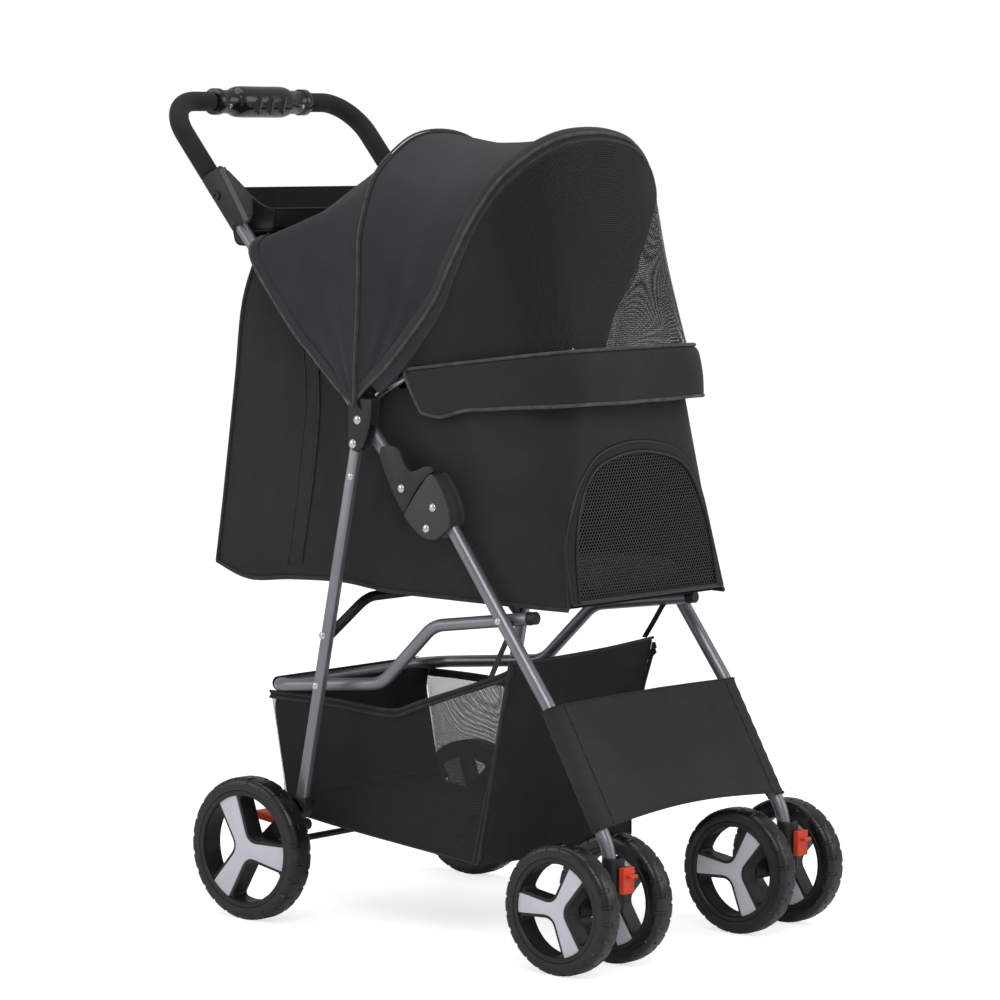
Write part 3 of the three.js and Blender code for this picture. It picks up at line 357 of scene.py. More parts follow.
def make_net(name, color, pitch, row_pitch, hole, glint=1.0):
    """Knitted net: the open share of each cell lets light through, on a UV map in metres."""
    material, tree, shader = new_material(name, color, 0.6)
    parts = add_node(tree, "ShaderNodeSeparateXYZ")
    tree.links.new(coordinates(tree, "UV"), parts.inputs["Vector"])
    rows = wave(tree, parts.outputs["Y"], 2 * row_pitch)
    rows = math_value(tree, "ABSOLUTE", rows)
    step = math_value(tree, "MULTIPLY", math_value(tree, "FLOOR", math_value(
        tree, "DIVIDE", parts.outputs["Y"], row_pitch)), pitch / 2)
    shifted = math_value(tree, "ADD", parts.outputs["X"], step)
    columns = math_value(tree, "ABSOLUTE", wave(tree, shifted, 2 * pitch))
    cell = math_value(tree, "MULTIPLY", rows, columns)
    thread = math_value(tree, "LESS_THAN", cell, 1 - hole)
    tree.links.new(thread, shader.inputs["Alpha"])
    dark, light = shades(color, 0.7, glint)
    ridge = ramp(tree, math_value(tree, "SUBTRACT", 1.0, columns), [(0.25, dark), (0.85, light)])
    tree.links.new(ridge, shader.inputs["Base Color"])
    shader.inputs["Specular IOR Level"].default_value = 0.35
    shader.inputs["Sheen Weight"].default_value = 0.05
    return material


def make_fleece():
    color = (0.075, 0.075, 0.080)
    material, tree, shader = new_material("pad_fleece", color, 0.95)
    source = coordinates(tree)
    vary_color(tree, shader, noise_value(tree, source, 260, 4), color, 0.6, 1.5)
    add_bump(tree, shader, noise_value(tree, source, 500, 4), 0.6, 0.0012)
    shader.inputs["Sheen Weight"].default_value = 0.4
    return material


def make_tyre_rubber():
    color = (0.009, 0.009, 0.010)
    material, tree, shader = new_material("tyre_rubber", color, 0.4)
    source = coordinates(tree)
    vary_color(tree, shader, noise_value(tree, source, 30), color, 0.75, 1.4)
    vary_roughness(tree, shader, noise_value(tree, source, 60), 0.26, 0.42)
    shader.inputs["Coat Weight"].default_value = 0.35
    shader.inputs["Coat Roughness"].default_value = 0.2
    add_bump(tree, shader, noise_value(tree, source, 700, 4), 0.2, 0.0004)
    return material


def make_silver_paint():
    color = (0.84, 0.82, 0.90)
    material, tree, shader = new_material("silver_paint", color, 0.42, 0.05)
    source = coordinates(tree)
    vary_color(tree, shader, noise_value(tree, source, 14), color, 0.95, 1.05)
    vary_roughness(tree, shader, noise_value(tree, source, 80), 0.36, 0.5)
    add_bump(tree, shader, noise_value(tree, source, 1600, 2), 0.05, 0.0002)
    shader.inputs["Coat Weight"].default_value = 0.15
    return material


frame_paint = make_frame_paint()
bright_steel = make_bright_steel()
black_plastic = make_moulded_plastic("black_plastic", (0.020, 0.020, 0.021), 0.32, 0.48)
grey_plastic = make_moulded_plastic("grey_plastic", (0.062, 0.062, 0.064), 0.40, 0.55, 0.2)
gloss_plastic = make_moulded_plastic("gloss_plastic", (0.014, 0.014, 0.015), 0.12, 0.24, 0.05, 0.5)
red_plastic = make_moulded_plastic("red_plastic", (0.92, 0.085, 0.030), 0.32, 0.45, 0.1)
grip_foam = make_foam()
cabin_cloth = make_cloth("cabin_cloth", (0.030, 0.030, 0.031))
hood_cloth = make_cloth("hood_cloth", (0.042, 0.040, 0.044), sheen=0.12)
# Lighter cloth for the roll of the hood's front hem: a painted highlight along it
hem_highlight_cloth = make_cloth("hem_highlight_cloth", (0.052, 0.051, 0.054), sheen=0.15)
basket_cloth = make_cloth("basket_cloth", (0.022, 0.022, 0.023))
panel_cloth = make_cloth("panel_cloth", (0.036, 0.036, 0.037), 0.0014)
binding_tape = make_binding("binding_tape", (0.075, 0.074, 0.076))
dark_tape = make_binding("dark_tape", (0.022, 0.022, 0.024))
zip_tape = make_binding("zip_tape", (0.007, 0.007, 0.008))
bracket_plastic = make_moulded_plastic("bracket_plastic", (0.030, 0.030, 0.031), 0.36, 0.5, 0.2)
# Near black and matte: painted shade for the inside of the tray's deep well
well_shade_paint = make_moulded_plastic("well_shade_paint", (0.004, 0.004, 0.004), 0.75, 0.9, 0.1)
# Light grey for lines along ridges: a painted highlight
ridge_highlight_paint = make_moulded_plastic("ridge_highlight_paint", (0.12, 0.12, 0.125), 0.25, 0.4, 0.1)
gloss_tape = make_moulded_plastic("gloss_tape", (0.020, 0.020, 0.021), 0.25, 0.4, 0.3)
window_net = make_net("window_net", (0.030, 0.030, 0.032), 0.0022, 0.0024, 0.62, 1.6)
door_net = make_net("door_net", (0.020, 0.020, 0.019), 0.0048, 0.0036, 0.58, 3.2)
basket_net = make_net("basket_net", (0.030, 0.030, 0.031), 0.0013, 0.0013, 0.70, 1.5)
pad_fleece = make_fleece()
tyre_rubber = make_tyre_rubber()
silver_paint = make_silver_paint()


# Mesh makers
def finished(name, bm, material, sharp=32):
    """Closes a bmesh into an object with smooth faces and sharp edges."""
    bmesh.ops.remove_doubles(bm, verts=bm.verts, dist=1e-6)
    bmesh.ops.recalc_face_normals(bm, faces=bm.faces)
    for face in bm.faces:
        face.smooth = True
    for edge in bm.edges:
        edge.smooth = edge.calc_face_angle(0) < math.radians(sharp)
    mesh = bpy.data.meshes.new(name)
    bm.to_mesh(mesh)
    bm.free()
    mesh.materials.append(material)
    piece = bpy.data.objects.new(name, mesh)
    bpy.context.scene.collection.objects.link(piece)
    return piece


def settle(piece, body, slot, *nodes):
    """The piece rides on a body and stands for CAD nodes."""
    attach(piece, body)
    if nodes:
        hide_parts(*nodes)
    return piece


def add_rings(bm, rings, sides=16, cap=True):
    """A round shape through rings (centre, direction, radius), extruded from ring to ring."""
    centre, direction, radius = rings[0]
    turn = direction.to_track_quat("Z", "Y").to_matrix()
    ring = bmesh.ops.create_circle(bm, cap_ends=False, radius=radius, segments=sides,
                                   matrix=Matrix.Translation(centre) @ turn.to_4x4())["verts"]
    spokes = {vert: turn.inverted() @ (vert.co - centre) / radius for vert in ring}
    edges = list({edge for vert in ring for edge in vert.link_edges})
    first = list(edges)
    for centre, ahead, radius in rings[1:]:
        turn = direction.rotation_difference(ahead).to_matrix() @ turn
        direction = ahead
        grown = bmesh.ops.extrude_edge_only(bm, edges=edges)["geom"]
        edges = [item for item in grown if isinstance(item, bmesh.types.BMEdge)]
        carried = {}
        for vert in [item for item in grown if isinstance(item, bmesh.types.BMVert)]:
            before = next(e.other_vert(vert) for e in vert.link_edges if e.other_vert(vert) in spokes)
            carried[vert] = spokes[before]
        for vert, spoke in carried.items():
            vert.co = centre + turn @ (spoke * radius)
        spokes = carried
    if cap:
        bmesh.ops.contextual_create(bm, geom=first)
        bmesh.ops.contextual_create(bm, geom=edges)


def directions(points):
    steps = [(b - a).normalized() for a, b in zip(points, points[1:])]
    inner = [(a + b).normalized() for a, b in zip(steps, steps[1:])]
    return [steps[0], *inner, steps[-1]]


def add_bar(bm, points, radius, sides=16):
    add_rings(bm, [(point, way, radius) for point, way in zip(points, directions(points))], sides)


def add_sleeve(bm, points, radius, inner, sides=24, lip=0.0015):
    """A hollow sleeve along points with rounded lips."""
    ways = directions(points)
    rings = [(points[0], ways[0], inner), (points[0], ways[0], radius - lip)]
    rings.append((points[0] + ways[0] * lip, ways[0], radius))
    rings += [(point, way, radius) for point, way in zip(points[1:-1], ways[1:-1])]
    rings.append((points[-1] - ways[-1] * lip, ways[-1], radius))
    rings += [(points[-1], ways[-1], radius - lip), (points[-1], ways[-1], inner)]
    rings += [(point, way, inner) for point, way in zip(points[-2:0:-1], ways[-2:0:-1])]
    rings.append(rings[0])
    add_rings(bm, rings, sides, cap=False)


def make_bar(name, points, radius, material, sides=20):
    bm = bmesh.new()
    add_bar(bm, points, radius, sides)
    return finished(name, bm, material)


def add_plate(bm, outline, low, high, soften=0.0, steps=2):
    """A plate with a side view outline, from y low to y high, with softened edges."""
    verts = [bm.verts.new(at(place, low)) for place in outline]
    face = bm.faces.new(verts)
    grown = bmesh.ops.extrude_face_region(bm, geom=[face])["geom"]
    top = [item for item in grown if isinstance(item, bmesh.types.BMVert)]
    bmesh.ops.translate(bm, verts=top, vec=(0, high - low, 0))
    both = set(verts + top)
    if soften:
        edges = [edge for edge in {e for v in both for e in v.link_edges} if edge.calc_face_angle(0) > 0.6]
        bmesh.ops.bevel(bm, geom=edges, offset=soften, segments=steps, profile=0.5, affect="EDGES",
                        material=-1, clamp_overlap=True)


def add_spun(bm, profile, centre, axis="Y", steps=48):
    """A turned shape: profile holds (radius, height) along the axis."""
    if axis == "Y":
        verts = [bm.verts.new(centre + Vector((radius, height, 0))) for radius, height in profile]
        direction = (0, 1, 0)
    else:
        verts = [bm.verts.new(centre + Vector((radius, 0, height))) for radius, height in profile]
        direction = (0, 0, 1)
    edges = [bm.edges.new(pair) for pair in zip(verts, verts[1:])]
    bmesh.ops.spin(bm, geom=verts + edges, cent=centre, axis=direction, angle=2 * math.pi, steps=steps,
                   use_merge=True)


def add_rivet(bm, place, y, sign, radius=RIVET_RADIUS, height=0.0018):
    """A domed rivet head on a face whose outward side is sign."""
    profile = [(radius, -0.0006 * sign), (radius, 0.0)]
    for step in range(1, 6):
        angle = step * math.pi / 10
        profile.append((radius * math.cos(angle), sign * height * math.sin(angle)))
    add_spun(bm, profile, at(place, y), "Y", 20)


def make_sheet_mesh(name, surface, columns, rows, material, wall=0.0012, levels=1, mapped=None):
    """A sheet over a surface(u, v), with a UV map in metres, or one that mapped(point) gives."""
    bm = bmesh.new()
    layer = bm.loops.layers.uv.new("UVMap")
    bmesh.ops.create_grid(bm, x_segments=columns, y_segments=rows, size=0.5, calc_uvs=True)
    width = sum((surface((i + 1) / 12, 0.5) - surface(i / 12, 0.5)).length for i in range(12))
    length = sum((surface(0.5, (i + 1) / 12) - surface(0.5, i / 12)).length for i in range(12))
    for face in bm.faces:
        face.smooth = True
        for loop in face.loops:
            uv = loop[layer].uv
            loop[layer].uv = (uv.x * width, uv.y * length)
    for vert in bm.verts:
        vert.co = surface(vert.co.x + 0.5, vert.co.y + 0.5)
    for loop in [loop for face in bm.faces for loop in face.loops] if mapped else []:
        loop[layer].uv = mapped(loop.vert.co)
    mesh = bpy.data.meshes.new(name)
    bm.to_mesh(mesh)
    area = sum(face.calc_area() for face in bm.faces)
    bm.free()
    mesh.materials.append(material)
    piece = bpy.data.objects.new(name, mesh)
    bpy.context.scene.collection.objects.link(piece)
    thick = piece.modifiers.new("wall", "SOLIDIFY")
    thick.thickness = wall
    thick.offset = 0
    if levels:
        smooth = piece.modifiers.new("smooth", "SUBSURF")
        smooth.levels = levels
        smooth.render_levels = levels
    return piece, (width, length), area


def make_sheet(name, surface, columns, rows, material, wall=0.0012, levels=1, mapped=None):
    """A sheet of cloth."""
    piece, flat, area = make_sheet_mesh(name, surface, columns, rows, material, wall, levels, mapped)
    if min(flat) < 0.0101:
        return piece
    min(max(area, 0.31 * flat[0] * flat[1]),
                                                                     flat[0] * flat[1])
    return piece


def ripple(point, scale, depth, seed=0.0):
    """Soft unevenness of hanging cloth, the same each run."""
    return depth * noise.noise(point * scale + Vector((seed, seed * 1.7, -seed)))


def crease(value, place, width, depth):
    """One fold that runs past a value: a soft ridge beside a valley."""
    offset = (value - place) / width
    return depth * offset * math.exp(-offset * offset)


# Handle frame
TRAY_HALF = TUBE_LINE - 0.0115 - GAP
CLAMP_RADIUS = 0.0121
foam_start = along(HANDLE_UPPER_KINK, HANDLE_BAR, 0.094)
clamp_bottom = along(HANDLE_UPPER_KINK, HANDLE_BAR, 0.016)
tube_foot = along(HANDLE_KINK, FOLD_PIVOT, distance(HANDLE_KINK, FOLD_PIVOT) + TUBE_RADIUS)


def make_handle_tube():
    side = [tube_foot, HANDLE_KINK, HANDLE_UPPER_KINK, HANDLE_BAR]
    corners = [at(place, -TUBE_LINE) for place in side] + [at(place, TUBE_LINE) for place in reversed(side)]
    points = bend(corners, [0.060, 0.060, 0.052, 0.052, 0.060, 0.060], math.radians(4))
    piece = make_bar("handle_tube", points, TUBE_RADIUS, frame_paint, 28)
    settle(piece, "handle_frame", "frame_steel", "handle_tube")


def make_foam_grips():
    for name, sign in SIDES:
        line = sign * TUBE_LINE
        start = along(foam_start, HANDLE_BAR, GAP)
        end = at(HANDLE_BAR, sign * (0.085 + GAP))
        path = bend([at(start, line), at(HANDLE_BAR, line), end], [0.052], math.radians(4))
        bm = bmesh.new()
        add_sleeve(bm, path, FOAM_RADIUS, TUBE_RADIUS + GAP, 32, 0.002)
        piece = finished(f"foam_grip_{name}", bm, grip_foam, 60)
        settle(piece, "handle_frame", "grip_foam", f"foam_grip_{name}")


def make_centre_grip():
    bore = TUBE_RADIUS + GAP
    half = [(0.0192, 0.0), (0.0194, 0.030), (0.0190, 0.041), (0.0178, 0.0460), (0.0158, 0.0485),
            (0.0148, 0.0500), (0.0144, 0.0700), (0.0148, 0.0722), (0.0160, 0.0728), (0.0164, 0.0740),
            (0.0164, 0.0832), (0.0156, 0.0845), (0.0125, 0.085), (bore, 0.085)]
    profile = [(radius, -place) for radius, place in reversed(half)] + half[1:] + [(bore, -0.085)]
    bm = bmesh.new()
    add_spun(bm, profile, at(HANDLE_BAR, 0), "Y", 40)
    piece = finished("centre_grip", bm, gloss_plastic, 40)
    settle(piece, "handle_frame", "grip_plastic", "centre_grip")
    # Finger wedges with a ridge each on the belly, the ridges light grey as painted highlights, and a screw in
    # each collar
    kinds = (("grip_wedges", dark_tape, 0.0022), ("grip_ridge_highlights", ridge_highlight_paint, 0.0034))
    for wedge_name, wedge_material, rise in kinds:
        bm = bmesh.new()
        for turn in (math.radians(-12), math.radians(168)):
            out = Vector((math.cos(turn), 0, math.sin(turn)))
            up = Vector((-out.z, 0, out.x))
            for place in (-0.021, 0.001, 0.023):
                foot = at(HANDLE_BAR, place) + out * 0.0172
                if wedge_name == "grip_wedges":
                    corners = [(-0.0135, 0.0), (0.0020, -0.0105), (0.0020, 0.0105)]
                else:
                    corners = [(0.0020, -0.0125), (0.0046, -0.0100), (0.0046, 0.0100), (0.0020, 0.0125)]
                verts = [bm.verts.new(foot + Vector((0, across, 0)) + up * lift) for across, lift in corners]
                face = bm.faces.new(verts)
                grown = bmesh.ops.extrude_face_region(bm, geom=[face])["geom"]
                moved = [item for item in grown if isinstance(item, bmesh.types.BMVert)]
                bmesh.ops.translate(bm, verts=moved, vec=out * rise)
        settle(finished(wedge_name, bm, wedge_material, 20), "handle_frame", "grip_plastic")
    bm = bmesh.new()
    for sign in (-1, 1):
        for turn in (math.radians(-20), math.radians(160)):
            centre = at(HANDLE_BAR, sign * 0.0660)
            out = Vector((math.cos(turn), 0, math.sin(turn)))
            add_rings(bm, [(centre + out * 0.0130, out, 0.0026), (centre + out * 0.0156, out, 0.0026),
                           (centre + out * 0.0162, out, 0.0019)], 14)
    settle(finished("grip_screws", bm, bright_steel), "handle_frame", "frame_steel")


def make_tray():
    trough = [(-0.2243, 0.8475), (-0.2262, 0.8230), (-0.2600, 0.8215), (-0.2680, 0.8025), (-0.2885, 0.8035),
              (-0.3058, 0.8715)]
    flat = [Vector((x, 0, z)) for x, z in trough]
    points = bend(flat, [0.006, 0.006, 0.006, 0.010], math.radians(12))
    ways = directions(points)
    wall = 0.0030
    inner = [(p.x + w.z * wall, p.z - w.x * wall) for p, w in zip(points, ways)]
    bm = bmesh.new()
    add_plate(bm, [(p.x, p.z) for p in points] + inner[::-1], -TRAY_HALF, TRAY_HALF, 0.0009)
    top = smooth_line([Vector((x, 0, z)) for x, z in (
        (-0.2243, 0.8475), (-0.2350, 0.8478), (-0.2480, 0.8520), (-0.2630, 0.8605), (-0.2790, 0.8715),
        (-0.2950, 0.8835), (-0.3075, 0.8905))], 4)
    end = [(p.x, p.z) for p in top] + [(-0.3120, 0.8860), (-0.3058, 0.8715)]
    end += [(p.x, p.z) for p in points[-2:0:-1]]
    for _, sign in SIDES:
        low, high = sorted((sign * TRAY_HALF, sign * (TRAY_HALF - 0.004)))
        add_plate(bm, end, low, high, 0.0010)
        spans = [at(clamp_bottom, sign * TUBE_LINE), at(foam_start, sign * TUBE_LINE)]
        middle = spans[0].lerp(spans[1], 0.5)
        add_sleeve(bm, [spans[0], middle, spans[1]], CLAMP_RADIUS, TUBE_RADIUS + GAP, 28)
        gusset = [(-0.3190, 0.8840), (-0.3060, 0.8690), (-0.2860, 0.8480), (-0.2730, 0.8340),
                  (-0.2600, 0.8300), (-0.2440, 0.8320), (-0.2380, 0.8420), (-0.2400, 0.8620),
                  (-0.2545, 0.8750), (-0.2785, 0.8925), (-0.2925, 0.8990)]
        add_plate(bm, gusset, *sorted((sign * 0.1770, sign * 0.1806)), 0.0014, 3)
    settle(finished("tray", bm, black_plastic, 28), "handle_frame", "black_plastic", "tray")
    # A very dark sheet inside the tray's well: painted shade where the well lies in shadow
    shade_face = [(p.x - w.z * -0.0034, p.z - w.x * 0.0034) for p, w in zip(points, ways)]
    under = [(p.x - w.z * -0.0040, p.z - w.x * 0.0040) for p, w in zip(points, ways)]
    bm = bmesh.new()
    add_plate(bm, shade_face + under[::-1], -TRAY_HALF + 0.0045, TRAY_HALF - 0.0045)
    settle(finished("tray_well_shade", bm, well_shade_paint), "handle_frame", "black_plastic")
    # Bright lips along the tray's edges
    bm = bmesh.new()
    for _, sign in SIDES:
        line = [at((p.x, p.z + 0.0006), sign * (TRAY_HALF - 0.002)) for p in top[:-3]]
        add_bar(bm, line, 0.0016, 8)
    lip = (-0.2250, 0.8480)
    add_bar(bm, [at(lip, -TRAY_HALF + 0.002), at(lip, TRAY_HALF - 0.002)], 0.0016, 8)
    settle(finished("tray_lips", bm, black_plastic), "handle_frame", "black_plastic")
    # Light grey bars along the clamps' ridges: a painted highlight where the ridges catch the light
    bm = bmesh.new()
    for _, sign in SIDES:
        ridge = ((-0.2885, 0.8950), (-0.2676, 0.8642), (-0.2470, 0.8335))
        add_bar(bm, [at(place, sign * 0.1790) for place in ridge], 0.0042, 16)
    settle(finished("clamp_ridge_highlights", bm, ridge_highlight_paint), "handle_frame", "black_plastic")
    bm = bmesh.new()
    for _, sign in SIDES:
        place = along(HANDLE_UPPER_KINK, HANDLE_BAR, 0.062, -0.001)
        add_spun(bm, [(0.0003, sign * 0.0008), (0.0020, sign * 0.0008), (0.0022, sign * 0.0022),
                      (0.0052, sign * 0.0024), (0.0058, sign * 0.0012), (0.0060, sign * -0.0040)],
                 at(place, sign * (TUBE_LINE + CLAMP_RADIUS + 0.0006)), "Y", 24)
    settle(finished("tray_screws", bm, black_plastic), "handle_frame", "black_plastic")


def make_pivot_brackets():
    outline = [(-0.0740, 0.632), (-0.0740, 0.610), (-0.0735, 0.5825), (-0.068, 0.571), (-0.059, 0.569),
               (-0.050, 0.577), (-0.0415, 0.600), (-0.0385, 0.618), (-0.0385, 0.632)]
    web = [(-0.0725, 0.602), (-0.0420, 0.602), (-0.0395, 0.618), (-0.0395, 0.631), (-0.0725, 0.631)]
    face = LEG_LINE + LEG_THICKNESS / 2 + GAP
    for name, sign in SIDES:
        bm = bmesh.new()
        for low, high, shape in ((face, face + 0.003, outline), (0.1763, 0.1774, outline),
                                 (0.1763, face + 0.002, web)):
            add_plate(bm, shape, *sorted((sign * low, sign * high)), 0.0008 if shape is outline else 0.0)
        settle(finished(f"pivot_bracket_{name}", bm, bracket_plastic), "handle_frame", "grey_plastic",
               f"pivot_bracket_{name}")
        bm = bmesh.new()
        for place in (LEG_PIVOT, BRACKET_RIVET):
            add_rivet(bm, place, sign * (face + 0.003), sign, 0.0056, 0.0022)
        settle(finished(f"bracket_rivets_{name}", bm, bright_steel), "handle_frame", "frame_steel")


def make_latches():
    hook = [(-0.0286, 0.577), (-0.0132, 0.5790), (-0.0020, 0.5738), (0.0055, 0.5600), (0.0140, 0.5510),
            (0.0240, 0.5525), (0.0364, 0.5577), (0.0470, 0.5575), (0.0500, 0.5535), (0.0425, 0.5485),
            (0.0280, 0.5345), (0.0156, 0.5172), (0.0060, 0.5028), (-0.0010, 0.5100), (-0.0108, 0.5237),
            (-0.0210, 0.5424), (-0.0310, 0.5613), (-0.0318, 0.5709)]
    housing = [(0.0456, 0.5500), (0.0568, 0.5406), (0.0687, 0.5212), (0.0754, 0.5023), (0.0740, 0.4907),
               (0.0642, 0.4804), (0.0516, 0.4736), (0.0354, 0.4756), (0.0210, 0.4839), (0.0112, 0.4932),
               (0.0060, 0.5000), (0.0145, 0.5130), (0.0295, 0.5335)]
    web = [(0.046, 0.549), (0.065, 0.527), (0.0745, 0.506), (0.0745, 0.4905), (0.051, 0.524), (0.042, 0.536)]
    smooth = [[(p.x, p.z) for p in smooth_line([Vector((x, 0, z)) for x, z in shape], 3, closed=True)]
              for shape in (hook, housing)]
    near, far = TUBE_LINE - TUBE_RADIUS - GAP, TUBE_LINE + TUBE_RADIUS + GAP
    for name, sign in SIDES:
        bm = bmesh.new()
        add_plate(bm, smooth[0], *sorted((sign * far, sign * (far + 0.007))), 0.0012)
        settle(finished(f"latch_hook_{name}", bm, bracket_plastic), f"latch_hook_{name}_body", "black_plastic",
               f"latch_hook_{name}")
        bm = bmesh.new()
        add_rivet(bm, LATCH_PIVOT, sign * (far + 0.007), sign)
        settle(finished(f"hook_rivet_{name}", bm, bright_steel), f"latch_hook_{name}_body", "frame_steel")
        bm = bmesh.new()
        add_plate(bm, smooth[1], *sorted((sign * far, sign * (far + 0.007))), 0.0012)
        add_plate(bm, smooth[1], *sorted((sign * near, sign * (near - 0.007))), 0.0012)
        add_plate(bm, web, *sorted((sign * (near - 0.006), sign * (far + 0.006))), 0.0006)
        settle(finished(f"latch_housing_{name}", bm, grey_plastic), "front_frame", "grey_plastic",
               f"latch_housing_{name}")
        bm = bmesh.new()
        for place in (FOLD_PIVOT, LEG_RIVET):
            add_rivet(bm, place, sign * (far + 0.007), sign)
        settle(finished(f"housing_rivets_{name}", bm, bright_steel), "front_frame", "frame_steel")


# Legs, axles and wheel brackets
def make_rear_legs():
    for name, sign in SIDES:
        outline = bar_outline(LEG_PIVOT, REAR_LEG_FOOT, LEG_WIDTH / 2, 0.011)
        bm = bmesh.new()
        add_plate(bm, outline, *sorted((sign * 0.178, sign * 0.188)), 0.0022, 3)
        settle(finished(f"rear_leg_{name}", bm, frame_paint, 50), "rear_frame", "frame_steel",
               f"rear_leg_{name}")
        bm = bmesh.new()
        for place in ((-0.0735, 0.5395), CROSS_FOOT, REAR_LINK_PIVOT):
            add_rivet(bm, place, sign * 0.188, sign, 0.0046, 0.0016)
        settle(finished(f"leg_rivets_{name}", bm, bright_steel), "rear_frame", "frame_steel")


def make_cross_tube():
    end = 0.178 - GAP
    corners = [at(CROSS_FOOT, -end), at(CROSS_FOOT, -end + 0.004), at(CROSS_CROWN, -0.120),
               at(CROSS_CROWN, 0.120), at(CROSS_FOOT, end - 0.004), at(CROSS_FOOT, end)]
    piece = make_bar("rear_cross_tube", bend(corners, [0.006, 0.040, 0.040, 0.006]), 0.006, black_plastic)
    settle(piece, "rear_frame", "axle_steel", "rear_cross_tube")


def make_rear_axle():
    face = 0.192 + 0.031 - 0.005
    bm = bmesh.new()
    add_bar(bm, [at(REAR_AXLE, -face), at(REAR_AXLE, face)], 0.004, 24)
    settle(finished("rear_axle", bm, black_plastic), "rear_frame", "axle_steel", "rear_axle")


def make_wheel_brackets():
    top = along(REAR_LEG_FOOT, LEG_PIVOT, 0.012)
    socket = bar_outline(top, REAR_LEG_FOOT, 0.012, 0, 0.004)
    arm = bar_outline(REAR_LEG_FOOT, REAR_AXLE, 0.0112, 0.007)
    boss = bar_outline(REAR_LEG_FOOT, PEDAL_PIVOT, 0.007, 0, 0.007)
    lever_end = (PEDAL_PIVOT[0] - 0.066, PEDAL_PIVOT[1] + 0.007)
    lever = bar_outline(PEDAL_PIVOT, lever_end, 0.0035, 0.003)
    tip = bar_outline(along(PEDAL_PIVOT, lever_end, 0.030), lever_end, 0.0048, 0.0, 0.002)
    for name, sign in SIDES:
        bm = bmesh.new()
        for shape, low, high in ((socket, 0.172, 0.191), (arm, 0.172, 0.191), (boss, 0.1722, 0.1908)):
            add_plate(bm, shape, *sorted((sign * low, sign * high)), 0.0022)
        add_spun(bm, [(0.0045, -0.0095), (0.0130, -0.0095), (0.014, -0.0085), (0.014, 0.0085),
                      (0.0130, 0.0095), (0.0045, 0.0095)], at(REAR_AXLE, sign * 0.1815), "Y", 32)
        add_bar(bm, [at(PEDAL_PIVOT, sign * 0.1725), at(PEDAL_PIVOT, sign * 0.148)], 0.003, 16)
        settle(finished(f"wheel_bracket_{name}", bm, black_plastic), "rear_frame", "black_plastic",
               f"wheel_bracket_{name}")
        bm = bmesh.new()
        low, high = sorted((sign * 0.148, sign * 0.1717))
        add_plate(bm, lever, low, high, 0.0016)
        add_spun(bm, [(0.0033, low), (0.0066, low), (0.007, low + 0.0004), (0.007, high - 0.0004),
                      (0.0066, high), (0.0033, high)], at(PEDAL_PIVOT, 0), "Y", 24)
        piece = finished(f"brake_lever_{name}", bm, black_plastic)
        settle(piece, f"brake_pedal_{name}_body", "black_plastic")
        bm = bmesh.new()
        add_plate(bm, tip, low - 0.001, high + 0.001, 0.0024, 3)
        settle(finished(f"brake_pedal_{name}", bm, red_plastic), f"brake_pedal_{name}_body", "red_plastic",
               f"brake_pedal_{name}")


def make_front_legs():
    for name, sign in SIDES:
        line = sign * TUBE_LINE
        top = along(LEG_RIVET, FRONT_LEG_KNEE, -0.008)
        foot = (KINGPIN[0], KINGPIN[1] + GAP)
        corners = [at(place, line) for place in (top, FRONT_LEG_KNEE, FRONT_LEG_ANKLE, foot)]
        piece = make_bar(f"front_leg_{name}", bend(corners, [0.06, 0.06], math.radians(3)), TUBE_RADIUS,
                         frame_paint, 28)
        settle(piece, "front_frame", "frame_steel", f"front_leg_{name}")
        bm = bmesh.new()
        add_rivet(bm, FRONT_LINK_PIVOT, sign * (TUBE_LINE + 0.0072), sign, 0.0046, 0.0024)
        settle(finished(f"leg_rivet_{name}", bm, bright_steel), "front_frame", "frame_steel")


